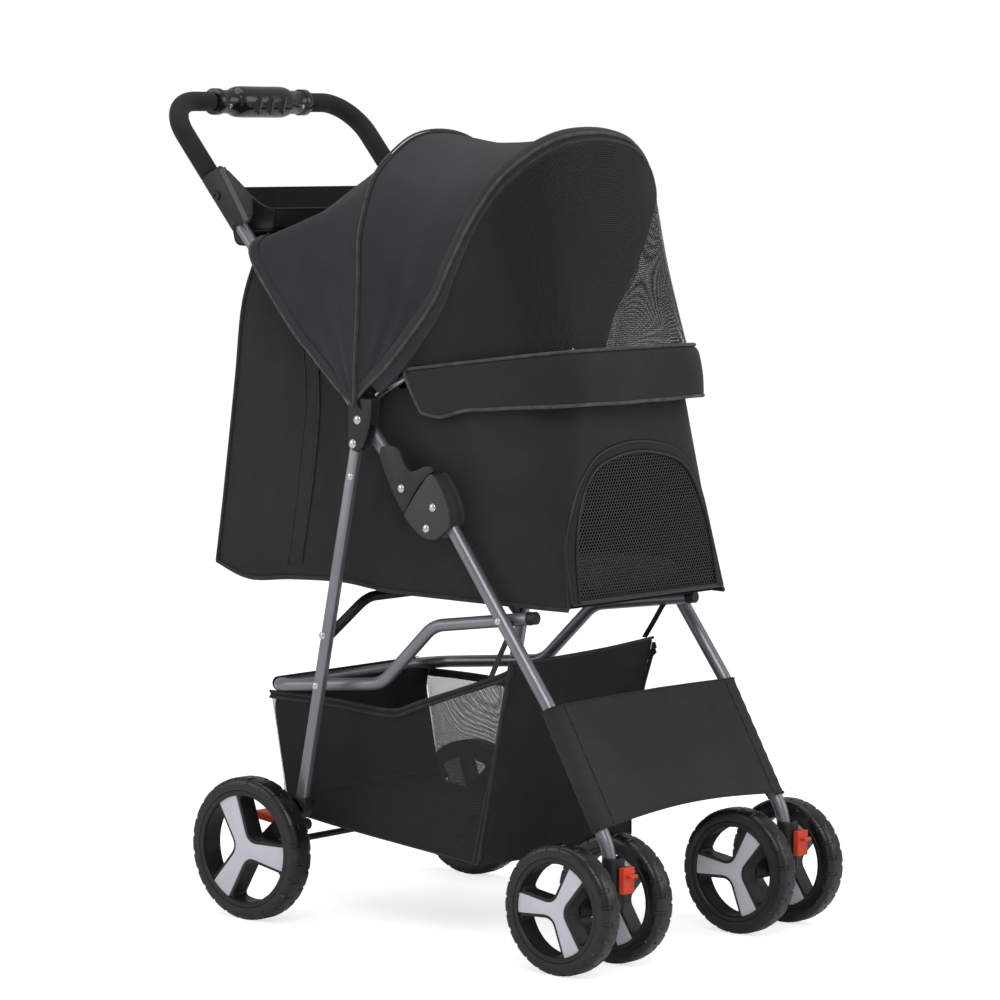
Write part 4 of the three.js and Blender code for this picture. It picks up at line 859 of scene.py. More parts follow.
def make_casters():
    axle = FRONT_AXLE
    shoulder = 0.097 - GAP
    for name, sign in SIDES:
        line = sign * TUBE_LINE
        post = Vector((KINGPIN[0] + SHIFT, line, 0))
        bm = bmesh.new()
        add_spun(bm, [(0.0053, 0.097), (0.0122, 0.097), (0.013, 0.0980), (0.013, 0.1290), (0.0118, 0.1318),
                      (0.0084, 0.132), (0.0084, 0.110), (0.0053, 0.1085), (0.0053, 0.097)], post, "Z", 36)
        bmesh.ops.create_cube(bm, size=1, matrix=Matrix.Translation(post + Vector((0.013, 0, 0.108)))
                              @ Matrix.Diagonal((0.005, 0.010, 0.030, 1)))
        settle(finished(f"caster_socket_{name}", bm, black_plastic), "front_frame", "black_plastic",
               f"caster_socket_{name}")
        bm = bmesh.new()
        lock_x = KINGPIN[0] + 0.013 + GAP + 0.005
        middle = Matrix.Translation((lock_x + SHIFT + 0.0012, line, 0.108))
        made = bmesh.ops.create_cube(bm, size=1, matrix=middle
                                     @ Matrix.Diagonal((0.0075, 0.020, 0.030, 1)))["verts"]
        middle = Matrix.Translation((lock_x + SHIFT + 0.0085, line, 0.1135))
        tab = bmesh.ops.create_cube(bm, size=1, matrix=middle
                                    @ Matrix.Diagonal((0.0085, 0.013, 0.0045, 1)))["verts"]
        edges = list({edge for vert in made + tab for edge in vert.link_edges})
        bmesh.ops.bevel(bm, geom=edges, offset=0.0012, segments=3, profile=0.5, affect="EDGES", material=-1)
        settle(finished(f"swivel_lock_{name}", bm, red_plastic), f"swivel_lock_{name}_body", "red_plastic",
               f"swivel_lock_{name}")
        bm = bmesh.new()
        add_spun(bm, [(0.0002, 0.075), (0.013, 0.075), (0.013, 0.0925), (0.0118, shoulder), (0.005, shoulder),
                      (0.005, 0.1045), (0.0002, 0.105)], post, "Z", 36)
        arm = bar_outline(axle, (KINGPIN[0], shoulder - 0.015), 0.012, 0.004, 0.0075)
        add_plate(bm, arm, line - 0.011, line + 0.011, 0.003, 3)
        add_spun(bm, [(0.0043, -0.032), (0.0138, -0.032), (0.015, -0.0308), (0.015, 0.0308), (0.0138, 0.032),
                      (0.0043, 0.032)], at(axle, line), "Y", 36)
        settle(finished(f"caster_fork_{name}", bm, black_plastic), f"caster_{name}", "black_plastic",
               f"caster_fork_{name}")
        reach = 0.034 + 0.029 - 0.005
        bm = bmesh.new()
        add_bar(bm, [at(axle, line - reach), at(axle, line + reach)], 0.004, 24)
        settle(finished(f"caster_axle_{name}", bm, black_plastic), f"caster_{name}", "axle_steel",
               f"caster_axle_{name}")


# Wheels
TYRE_DEPTH = 0.015
RIM_DEPTH = 0.006


def opening_line(outer, start, border):
    """The edge of one opening between two spokes, from ring to ring past the hub, in the wheel's plane."""
    scale = outer / 0.0647
    root, tip = 0.0125 * scale - border, 0.0185 * scale - border
    lines = []
    for side, angle in ((1, start), (-1, start + 2 * math.pi / 3)):
        away = Vector((math.cos(angle), math.sin(angle)))
        across = Vector((-away.y, away.x)) * side
        lines.append((away * 0.0085 + across * root, away * outer + across * tip))
    middle = Vector((math.cos(start + math.pi / 3), math.sin(start + math.pi / 3)))
    foot, end = lines[0]
    way = (end - foot).normalized()
    offset = -(foot.x * middle.y - foot.y * middle.x) / (way.x * middle.y - way.y * middle.x)
    hub = foot + way * offset
    return [lines[0][1], hub, lines[1][1]]


def rounded(points, radii, closed):
    """Flat points with rounded corners, as tuples."""
    flat = [Vector((p.x, 0, p.y)) for p in points]
    if closed:
        flat = [(flat[0] + flat[-1]) / 2, *flat, (flat[0] + flat[-1]) / 2]
    line = bend(flat, radii, math.radians(15))
    line = [(p.x, p.z) for p in line]
    return line[:-1] if closed else line


def make_spokes(bm, outer, start, low, high, centre):
    """The black web with three rounded openings."""
    loops = [[(math.cos(a) * (outer + 0.001), math.sin(a) * (outer + 0.001))
              for a in [2 * math.pi * i / 48 for i in range(48)]]]
    for i in range(3):
        ring_end, hub, ring_far = opening_line(outer, start + i * 2 * math.pi / 3, 0.0)
        first = math.atan2(ring_end.y, ring_end.x)
        last = math.atan2(ring_far.y, ring_far.x)
        span = (last - first) % (2 * math.pi)
        reach = outer - 0.0005
        arc = [Vector((reach * math.cos(first + span * k / 6), reach * math.sin(first + span * k / 6)))
               for k in range(7)]
        arc[0], arc[-1] = ring_end.normalized() * reach, ring_far.normalized() * reach
        line = [hub, arc[0]] + arc[1:-1] + [arc[-1]]
        shape = rounded(line, [0.0130, 0.005, *[0.02] * (len(arc) - 2), 0.005], True)
        loops.append(shape)
    edges = []
    for loop in loops:
        verts = [bm.verts.new(centre + Vector((x, low, z))) for x, z in loop]
        edges += [bm.edges.new((verts[k], verts[(k + 1) % len(verts)])) for k in range(len(verts))]
    filled = bmesh.ops.triangle_fill(bm, edges=edges, use_beauty=True)["geom"]
    faces = [item for item in filled if isinstance(item, bmesh.types.BMFace)]
    grown = bmesh.ops.extrude_face_region(bm, geom=faces)["geom"]
    verts = [item for item in grown if isinstance(item, bmesh.types.BMVert)]
    bmesh.ops.translate(bm, verts=verts, vec=(0, high - low, 0))


def make_inlay(bm, outer, start, low, high, centre):
    """The silver three armed inlay on one face of the wheel."""
    outline = []
    for i in range(3):
        ring_end, hub, ring_far = opening_line(outer, start + i * 2 * math.pi / 3, 0.0040)
        outline += rounded([ring_end, hub, ring_far], [0.0170], False)
        next_end = opening_line(outer, start + (i + 1) * 2 * math.pi / 3, 0.0040)[0]
        first = math.atan2(ring_far.y, ring_far.x)
        span = (math.atan2(next_end.y, next_end.x) - first) % (2 * math.pi)
        outline += [(outer * math.cos(first + span * k / 6), outer * math.sin(first + span * k / 6))
                    for k in range(1, 6)]
    verts = [bm.verts.new(centre + Vector((x, low, z))) for x, z in outline]
    face = bm.faces.new(verts)
    grown = bmesh.ops.extrude_face_region(bm, geom=[face])["geom"]
    top = [item for item in grown if isinstance(item, bmesh.types.BMVert)]
    bmesh.ops.translate(bm, verts=top, vec=(0, high - low, 0))
    rims = [e for e in {e for v in top for e in v.link_edges} if e.calc_face_angle(0) > 0.6 and
            all(v in top for v in e.verts)]
    bmesh.ops.bevel(bm, geom=rims, offset=0.0008, segments=2, profile=0.5, affect="EDGES", material=-1)


def make_wheel(name, body, radius, width, start_degrees, middle, axle, faces):
    """A tyre, its rim with three spokes, and silver inlays."""
    half = width / 2
    inner = radius - TYRE_DEPTH
    centre = at(axle, middle)
    start = math.radians(start_degrees)
    profile = [(inner, -half), (inner + 0.004, -half)]
    for share in (0.0, 0.25, 0.5, 0.75, 1.0):
        angle = share * math.pi / 2
        profile.append((radius - 0.0075 * (1 - math.sin(angle)), -half + 0.0075 * (1 - math.cos(angle))))
    profile += [(radius, -0.002), (radius, 0.002)]
    profile += [(reach, -place) for reach, place in profile[::-1]][2:]
    bm = bmesh.new()
    add_spun(bm, [*profile, profile[0]], centre, "Y", 96)
    bmesh.ops.remove_doubles(bm, verts=bm.verts, dist=1e-6)
    bmesh.ops.recalc_face_normals(bm, faces=bm.faces)
    blocks = []
    for face in bm.faces:
        spot = face.calc_center_median() - centre
        reach = math.hypot(spot.x, spot.z)
        if reach > radius - 0.0062 and abs(spot.y) > 0.003:
            step = int((math.atan2(spot.z, spot.x) % (2 * math.pi)) / (2 * math.pi) * 96)
            if step % 4 == (0 if spot.y > 0 else 2):
                blocks.append(face)
    bmesh.ops.inset_region(bm, faces=blocks, thickness=0.0008, depth=-0.0010, use_even_offset=True)
    piece = finished(f"{name}_tyre", bm, tyre_rubber, 40)
    settle(piece, body, "tyre_rubber", f"{name}_tyre")
    outer = inner - GAP
    bm = bmesh.new()
    ring = [(outer - RIM_DEPTH, -half + 0.001), (outer - RIM_DEPTH + 0.001, -half), (outer - 0.0006, -half),
            (outer, -half + 0.0006), (outer, half - 0.0006), (outer - 0.0006, half),
            (outer - RIM_DEPTH + 0.001, half), (outer - RIM_DEPTH, half - 0.001)]
    add_spun(bm, [*ring, ring[0]], centre, "Y", 64)
    make_spokes(bm, outer - RIM_DEPTH, start, -half + 0.0034, half - 0.0034, centre)
    settle(finished(f"{name}_rim", bm, black_plastic), body, "rim_plastic", f"{name}_rim")
    bm = bmesh.new()
    for end in faces:
        low, high = end * (half - 0.0038), end * (half - 0.0018)
        make_inlay(bm, outer - RIM_DEPTH + 0.0005, start, low, high, centre)
    settle(finished(f"{name}_inlay", bm, silver_paint), body, "rim_plastic")


def make_wheels():
    for name, sign in SIDES:
        for twin, way in (("inner", -1), ("outer", 1)):
            middle = sign * (TUBE_LINE + way * 0.0485)
            wheel = f"front_wheel_{name}_{twin}"
            make_wheel(wheel, wheel, 0.075, 0.029, 56.8, middle, FRONT_AXLE, (-1, 1))
        wheel = f"rear_wheel_{name}"
        make_wheel(wheel, wheel, 0.086, 0.031, -5.1, sign * 0.2075, REAR_AXLE, (-1, 1))


# Link frame, rim hoop and bows
def make_link_frame():
    tube_end = along(LINK_END, LINK_FRONT_BEND, 0.012)
    side = [tube_end, LINK_FRONT_BEND, LINK_REAR_BEND, LINK_REAR]
    corners = [at(place, -LINK_LINE) for place in side] + [at(place, LINK_LINE) for place in reversed(side)]
    points = bend(corners, [0.045, 0.045, 0.040, 0.040, 0.045, 0.045], math.radians(5))
    tube = make_bar("link_tube", points, LINK_RADIUS, frame_paint, 26)
    settle(tube, "link_frame", "frame_steel", "link_tube")
    for name, sign in SIDES:
        line = sign * LINK_LINE
        spots = [at(along(LINK_END, LINK_FRONT_BEND, reach), line)
                 for reach in (0.0117, 0.0095, 0.0094, 0.0012, 0.0)]
        ways = [(spots[-1] - spots[0]).normalized()] * 5
        bm = bmesh.new()
        add_rings(bm, list(zip(spots, ways, (0.0080, 0.0080, 0.0075, 0.0075, 0.0062))), 24)
        plug = finished(f"link_plug_{name}", bm, black_plastic)
        settle(plug, "link_frame", "black_plastic", f"link_plug_{name}")


# The far front corner of the rim is rounder than the near one, as in the photo
RIM_REAR, RIM_FRONT_END = (-0.018, 0.657), (0.203, 0.690)
NEAR_RIM_CORNER, FAR_RIM_CORNER = 0.056, 0.078


def make_rim_hoop():
    corners = [at(HOOD_PIVOT, -RIM_LINE), at(RIM_REAR, -RIM_LINE), at(RIM_FRONT_END, -RIM_LINE),
               at(RIM_FRONT_END, RIM_LINE), at(RIM_REAR, RIM_LINE), at(HOOD_PIVOT, RIM_LINE)]
    points = bend(corners, [0.030, NEAR_RIM_CORNER, FAR_RIM_CORNER, 0.030], math.radians(5))
    settle(make_bar("rim_hoop", points, RIM_RADIUS, bright_steel, 20), "rim", "frame_steel", "rim_hoop")


# Hood arches, as shares of their half width and reach, with the angle that each stands at
FRONT_HALF, FRONT_REACH, FRONT_ANGLE = 0.168, 0.379, 54
MID_HALF, MID_REACH, MID_ANGLE = 0.175, 0.309, 97
REAR_HALF, REAR_REACH, REAR_ANGLE, REAR_CROWN_ANGLE = 0.170, 0.249, 136.5, 133
BOW_INSET = 0.0064
MID_SHARES = [(1, 0), (1, .33), (.96, .47), (.93, .59), (.85, .7), (.74, .81), (.58, .89), (.3, .975),
              (0, 1)]
FRONT_SHARES = [(.86, 0), (.9, .37), (.96, .52), (1, .68), (.97, .81), (.87, .89), (.72, .953), (.5, .995),
                (.24, 1.007), (0, 1)]
FRONT_FAR_SHARES = [(.86, 0), (.9, .37), (.95, .52), (.94, .66), (.86, .765), (.70, .845), (.50, .915),
                    (.26, .972), (0, 1)]
REAR_CROWN_SHARES = [(.90, .985), (.6, .995), (.3, 1), (0, 1)]


def arch(shares, half_width, reach, angle, crown_angle, inset=0.0, cuts=10, far_shares=None):
    """Points of a hood arch from the right pivot over the crown to the left one."""
    halves = []
    for side_shares, sign in ((shares, -1), (far_shares or shares, 1)):
        half = []
        for width_share, reach_share in side_shares:
            turn = math.radians(angle + (crown_angle - angle) * (1 - min(width_share, 1)))
            out = (reach - inset) * reach_share
            place = (HOOD_PIVOT[0] + out * math.cos(turn), HOOD_PIVOT[1] + out * math.sin(turn))
            half.append(at(place, sign * (half_width - inset) * width_share))
        halves.append(half)
    return smooth_line(halves[0] + halves[1][-2::-1], cuts)


# The cloth hangs wider than the bows at the feet, where it covers the brackets
FRONT_FEET = [(1.150, -.030), (1.10, .035), (1.01, .11), (.945, .22)]
MID_FEET = [(1.110, -.045), (1.105, .0), (1.07, .12)]
front_arch = arch(FRONT_FEET + FRONT_SHARES[1:], FRONT_HALF, FRONT_REACH, FRONT_ANGLE, FRONT_ANGLE,
                  far_shares=FRONT_FEET + FRONT_FAR_SHARES[1:])
mid_arch = arch(MID_FEET + MID_SHARES[1:], MID_HALF, MID_REACH, MID_ANGLE, MID_ANGLE)
# The rear edge covers the handle's tube, and the crown is taken from the arch
REAR_EDGE = [(-0.0615, 0.6235, 0.1950), (-0.0920, 0.6440, 0.1915), (-0.1137, 0.6606, 0.1885),
             (-0.1362, 0.6794, 0.1865), (-0.1600, 0.6996, 0.1855), (-0.1867, 0.7281, 0.1850),
             (-0.2115, 0.7568, 0.1845), (-0.2300, 0.7790, 0.1835), (-0.2400, 0.7970, 0.1815),
             (-0.2400, 0.8075, 0.1760), (-0.2345, 0.8145, 0.1640)]
rear_crown = arch(REAR_CROWN_SHARES, REAR_HALF, REAR_REACH, REAR_ANGLE, REAR_CROWN_ANGLE, cuts=1)
rear_arch = smooth_line([at((x, z), -y) for x, z, y in REAR_EDGE] + rear_crown
                        + [at((x, z), y) for x, z, y in REAR_EDGE[::-1]], 8)


def make_bows():
    front = arch(FRONT_SHARES, FRONT_HALF, FRONT_REACH, FRONT_ANGLE, FRONT_ANGLE, BOW_INSET,
                 far_shares=FRONT_FAR_SHARES)
    mid = arch(MID_SHARES, MID_HALF, MID_REACH, MID_ANGLE, MID_ANGLE, BOW_INSET)
    for name, points in (("front_bow", front), ("mid_bow", mid)):
        settle(make_bar(name, points, BOW_RADIUS, black_plastic, 12), f"{name}_body", "frame_steel", name)


# Lines and tables for the cloth
def line_of(points):
    """A function from a share of a line's length to its point."""
    lengths = [0.0]
    for a, b in zip(points, points[1:]):
        lengths.append(lengths[-1] + (b - a).length)

    def place(share):
        reach = min(max(share, 0.0), 1.0) * lengths[-1]
        i = min(max(bisect.bisect_right(lengths, reach) - 1, 0), len(points) - 2)
        span = lengths[i + 1] - lengths[i]
        return points[i].lerp(points[i + 1], (reach - lengths[i]) / span if span else 0.0)

    return place


def side_line(places, cuts=0):
    """The same for places of the side view, smoothed where cuts are given."""
    points = [at(place, 0) for place in places]
    return line_of(smooth_line(points, cuts) if cuts else points)


def coons(bottom, top, start, end, u, v):
    """A point of the patch between four edges."""
    across = bottom(u).lerp(top(u), v)
    length = start(v).lerp(end(v), u)
    corners = bottom(0).lerp(bottom(1), u).lerp(top(0).lerp(top(1), u), v)
    return across + length - corners


def hump(share, power=1.0):
    return math.sin(math.pi * min(max(share, 0.0), 1.0)) ** power


def make_piping(name, points, radius, material, body, slot, sides=10):
    return settle(make_bar(name, points, radius, material, sides), body, slot)


def make_tape(name, points, radius, material, sides=10):
    """Piping on the cloth that the link frame carries."""
    return make_piping(name, points, radius, material, "link_frame", "cabin_fabric", sides)


# Hood
BOW_ANGLE = math.radians(FRONT_ANGLE)
FORWARD = Vector((math.sin(BOW_ANGLE), 0, -math.cos(BOW_ANGLE)))
HOOD_HEART = at(HOOD_PIVOT, 0) + Vector((0, 0, 0.03))


def way_out(point):
    return (point - HOOD_HEART).normalized()


def hood_surface(back, front, sag, seed, start=0.0, folds=()):
    """A panel between two arches that hangs in by sag, with folds that fan out from the feet."""
    back_at, front_at = line_of(back), line_of(front)

    def surface(u, v):
        share = mix(start, 1 - start, u)
        place = back_at(share).lerp(front_at(share), v)
        swell = hump(v)
        depth = -sag * swell * hump(share, 0.6) + ripple(place, 9, 0.0028, seed) * swell
        depth += ripple(place, 24, 0.0009, seed + 5) * swell
        for where, width, amount, end in folds:
            foot = min(share, 1 - share)
            depth += crease(v, where, width, amount) * math.exp(-(foot / end) ** 2) * swell
        return place + way_out(place) * depth

    return surface


def hood_edge(point):
    """Where the border ahead of the front bow ends: narrow over the crown, wider towards the feet."""
    reach = math.hypot(point.x - SHIFT - HOOD_PIVOT[0], point.z - HOOD_PIVOT[1]) / FRONT_REACH
    widest = 0.017 if point.y < 0 else 0.050
    width = mix(0.0090, widest, min(max((0.70 - reach) / 0.48, 0.0), 1.0))
    return point + FORWARD * width - way_out(point) * 0.002


def make_hood():
    folds = [(0.30, 0.10, 0.006, 0.22), (0.62, 0.09, 0.005, 0.30), (0.82, 0.06, 0.003, 0.25)]
    rear = make_sheet("hood_rear_panel", hood_surface(rear_arch, mid_arch, -0.001, 1.0, 0.0, folds), 96, 14,
                      hood_cloth)
    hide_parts("hood_rear_panel")
    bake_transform(rear)
    folds = [(0.25, 0.10, 0.006, 0.20), (0.55, 0.12, 0.005, 0.24), (0.80, 0.07, 0.003, 0.2)]
    surface = hood_surface(mid_arch, front_arch, 0.012, 2.0, 0.0, folds)
    front = make_sheet("hood_front_panel", surface, 96, 18, hood_cloth)
    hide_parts("hood_front_panel")
    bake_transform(front)
    bow_at = line_of(front_arch)

    def border(u, v):
        place = bow_at(mix(0.030, 0.925, u))
        return place.lerp(hood_edge(place), v) - way_out(place) * 0.002 * hump(v)

    def hem(u, v):
        place = bow_at(mix(0.020, 0.980, u))
        return place - FORWARD * (0.0115 * v) + way_out(place) * (0.0012 + 0.0022 * hump(v))

    edge_at = line_of(rear_arch)

    def rear_hem(u, v):
        place = edge_at(u)
        ahead = (line_of(mid_arch)(u) - place).normalized()
        return place + ahead * (0.0125 * v) + way_out(place) * (0.0014 + 0.0012 * hump(v))

    turned = make_sheet("hood_rear_hem", rear_hem, 110, 3, hood_cloth)
    settle(turned, "handle_frame", "cabin_fabric")
    # The roll is in the lighter cloth: a painted highlight along the hood's front hem
    roll = make_sheet("hood_front_hem", hem, 96, 4, hem_highlight_cloth)
    settle(roll, "front_bow_body", "cabin_fabric")
    band = make_sheet("hood_front_border", border, 96, 3, hood_cloth)
    settle(band, "front_bow_body", "cabin_fabric")


def make_hood_piping():
    # A dark bar along the mid seam: a painted shadow beside the light cord
    raised = [p + way_out(p) * 0.0012 for p in mid_arch]
    make_piping("mid_seam_shadow_line", raised[4:-4], 0.0017, dark_tape, "mid_bow_body", "cabin_fabric")
    raised = [p + way_out(p) * 0.0018 - FORWARD * 0.0035 for p in mid_arch]
    make_piping("mid_seam_cord", raised[4:-4], 0.0013, binding_tape, "mid_bow_body", "cabin_fabric")
    raised = [p + way_out(p) * 0.0010 for p in front_arch]
    make_piping("front_border_piping", raised, 0.0024, binding_tape, "front_bow_body", "cabin_fabric")
    edge = [hood_edge(p) for p in front_arch[12:-26]]
    make_piping("window_border_piping", edge, 0.0019, dark_tape, "front_bow_body", "cabin_fabric")
    lower = [p + way_out(p) * 0.0006 for p in rear_arch]
    make_piping("rear_edge_piping", lower, 0.0021, binding_tape, "handle_frame", "cabin_fabric")


NET_LINE = 0.1515


def make_window():
    """The net between the hood's border and the rim, open to the light."""
    bow_at = line_of(front_arch)
    ends = [next(k / 400 for k in shares if hood_edge(bow_at(k / 400)).z > 0.668)
            for shares in (range(12, 200), range(388, 200, -1))]
    top = [hood_edge(bow_at(mix(*ends, i / 120))) for i in range(121)]
    (rear_x, rear_z), (front_end_x, front_z) = RIM_REAR, RIM_FRONT_END
    feet = []
    for place in (top[0], top[-1]):
        x = place.x - SHIFT
        feet.append((x, mix(rear_z, front_z, (x - rear_x) / (front_end_x - rear_x))))
    low = bend([at(feet[0], -NET_LINE), at(RIM_FRONT_END, -NET_LINE), at(RIM_FRONT_END, NET_LINE),
                at(feet[1], NET_LINE)], [NEAR_RIM_CORNER, FAR_RIM_CORNER], math.radians(5))
    top_at, low_at = line_of(top), line_of(low)

    def surface(u, v):
        place = low_at(u).lerp(top_at(u), v)
        slack = hump(v) * hump(u, 0.7)
        return place + way_out(place) * (ripple(place, 14, 0.0016, 3) - 0.003) * slack

    net = make_sheet("mesh_window", surface, 96, 20, window_net,
                     NET_WALL)
    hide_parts("mesh_window")
    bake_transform(net)


# Rear and front end of the flap's top and foot in the side view
FLAP_TOP = [(-0.0180, 0.6675), (0.2110, 0.6980)]
FLAP_FOOT = [(0.012, 0.620), (0.219, 0.636)]


def make_flap():
    """The rolled flap of cloth that hangs over the rim."""
    lines = []
    for (back, front), y, radius in ((FLAP_FOOT, 0.1615, 0.056), (FLAP_TOP, 0.1600, 0.062)):
        corners = [at(back, -y), at(front, -y), at(front, y), at(back, y)]
        far_radius = radius + FAR_RIM_CORNER - NEAR_RIM_CORNER
        lines.append(bend(corners, [radius, far_radius], math.radians(6)))
    foot_at, top_at = line_of(lines[0]), line_of(lines[1])
    section = line_of([Vector((0, 0, 0)), Vector((0.0, 0, 0.9)), Vector((0.002, 0, 0.96)),
                       Vector((0.008, 0, 1.0)), Vector((0.016, 0, 0.97)), Vector((0.018, 0, 0.80))])

    def surface(u, v):
        step = section(v)
        place = foot_at(u).lerp(top_at(u), min(step.z, 1.0))
        way = top_at(u + 0.02) - top_at(u - 0.02)
        inward = Vector((-way.y, way.x, 0)).normalized()
        place += inward * step.x
        hang = hump(min(step.z, 0.95) / 0.95)
        place -= inward * (0.0022 * hang + ripple(place, 16, 0.0022, 7) * (1 - 0.7 * step.z))
        place.z += ripple(Vector((place.x, place.y, 0)), 13, 0.003, 9) * (1 - step.z) * 0.7
        for end in (u, 1 - u):
            place.z -= 0.008 * math.exp(-((end - 0.045) / 0.04) ** 2) * (1 - step.z)
        return place

    flap = make_sheet("rim_flap", surface, 84, 12, cabin_cloth, 0.0022)
    settle(flap, "rim", "cabin_fabric", "rim_flap")
    hem = [surface(i / 84, 0.0) for i in range(85)]
    make_piping("flap_hem", hem, 0.0022, binding_tape, "rim", "cabin_fabric")
    crest = [surface(i / 84, 0.80) + Vector((0, 0, 0.0012)) for i in range(85)]
    make_piping("flap_piping", crest, 0.0020, binding_tape, "rim", "cabin_fabric")
    for end in (0, 84):
        rise = [surface(end / 84, k / 10 * 0.8) for k in range(11)]
        make_piping(f"flap_end_{end}", rise, 0.0020, binding_tape, "rim", "cabin_fabric")


# Cabin
CABIN_HEM = [(-0.320, 0.419), (-0.267, 0.403), (-0.200, 0.408), (-0.121, 0.411), (-0.070, 0.407),
             (-0.027, 0.404), (0.225, 0.403)]
CABIN_REAR = [(-0.320, 0.419), (-0.309, 0.494), (-0.290, 0.640), (-0.278, 0.737), (-0.250, 0.804),
              (-0.236, 0.819)]
CABIN_TOP = [(-0.236, 0.819), (-0.046, 0.642), (-0.020, 0.653), (0.190, 0.680)]
CABIN_LOW, CABIN_HIGH = 0.403, 0.680
NEAR_CORNER, FAR_CORNER = (0.006, 0.060), (0.006, 0.082)
# Half of the door's outlines as (y, z), and the edges of the zip bands
DOOR_ZIP = [(-0.1435, 0.409), (-0.1405, 0.470), (-0.124, 0.520), (-0.099, 0.555), (-0.064, 0.5775),
            (0.0, 0.587)]
DOOR_NET = [(-0.1315, 0.411), (-0.1280, 0.468), (-0.1165, 0.510), (-0.095, 0.547), (-0.064, 0.5660),
            (0.0, 0.5755)]


ZIP_BACK = [(-0.204, 0.424), (-0.1955, 0.465), (-0.1878, 0.514), (-0.1803, 0.574), (-0.1745, 0.623),
            (-0.1790, 0.684)]
ZIP_FRONT = [(-0.181, 0.426), (-0.1730, 0.467), (-0.1638, 0.516), (-0.1563, 0.576), (-0.1535, 0.623),
             (-0.1570, 0.686)]


def front_x(z):
    return 0.225 - (z - CABIN_LOW) * 35 / 277


def rise_of(z):
    return min(max((z - CABIN_LOW) / (CABIN_HIGH - CABIN_LOW), 0.0), 1.0)


def corner_radius(z, sign):
    low, high = NEAR_CORNER if sign < 0 else FAR_CORNER
    return mix(low, high, 1 - (1 - rise_of(z)) ** 1.4)


def round_corner(place, sign, y):
    """Carries a point of the flat side round the cabin's front corner."""
    x, z = place.x - SHIFT, place.z
    radius = corner_radius(z, sign)
    past = x - (front_x(z) - radius)
    if past <= 0:
        return at((x, z), sign * y)
    turn = min(past / radius, math.pi / 2)
    place = (front_x(z) - radius + radius * math.sin(turn), z)
    return at(place, sign * (y - radius * (1 - math.cos(turn))))


def cabin_side(sign):
    """The surface of one side: u from back to front and v from hem to top."""
    hem, top, rear = side_line(CABIN_HEM, 6), side_line(CABIN_TOP), side_line(CABIN_REAR, 6)
    ends = [(front_x(z) + corner_radius(z, sign) * (math.pi / 2 - 1), z)
            for z in [mix(CABIN_LOW, CABIN_HIGH, k / 12) for k in range(13)]]
    front = side_line(ends)
    seed = 11 if sign < 0 else 17

    def surface(u, v):
        place = coons(hem, top, rear, front, u, v)
        swell = hump(u, 0.7) * hump(v, 0.7)
        flat = Vector((place.x, sign * CABIN_HALF, place.z))
        out = 0.0035 * swell + ripple(Vector((flat.x * 1.6, flat.y, flat.z * 0.5)), 9, 0.0030, seed) * swell
        for slope, where, width, amount in ((0.10, -0.235, 0.020, 0.0035), (0.02, -0.120, 0.022, 0.0030),
                                            (-0.12, 0.020, 0.026, 0.0028), (-0.30, 0.110, 0.024, 0.0024)):
            line = place.x - SHIFT - where - slope * (place.z - 0.5)
            out += crease(line, 0.0, width, amount) * swell
        return round_corner(place, sign, CABIN_HALF + max(out, -0.002))

    return surface


def front_place(y, z, out=0.0):
    """A point of the front wall, which bends back round the corners."""
    radius = corner_radius(z, y)
    past = min(max(abs(y) - (CABIN_HALF - radius), 0.0), radius)
    back = radius - math.sqrt(radius ** 2 - past ** 2)
    return at((front_x(z) - back + out, z), y)


def mirrored(places):
    return [*places, *[(-y, z) for y, z in places[-2::-1]]]


def door_line(places, out=0.0):
    return smooth_line([front_place(y, z, out) for y, z in mirrored(places)], 6)


def on_side(surface, x, z):
    """The point of a cabin side at a place of the side view."""
    u, v, step = 0.25, 0.5, 0.01
    for _ in range(8):
        here = surface(u, v)
        right, up = (surface(u + step, v) - here) / step, (surface(u, v + step) - here) / step
        miss_x, miss_z = x - here.x, z - here.z
        area = right.x * up.z - up.x * right.z
        u += (miss_x * up.z - miss_z * up.x) / area
        v += (miss_z * right.x - miss_x * right.z) / area
    return surface(u, v)


def folds_down(piece):
    """Gives a piece of the cabin its own copy of its mesh."""
    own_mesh(piece)


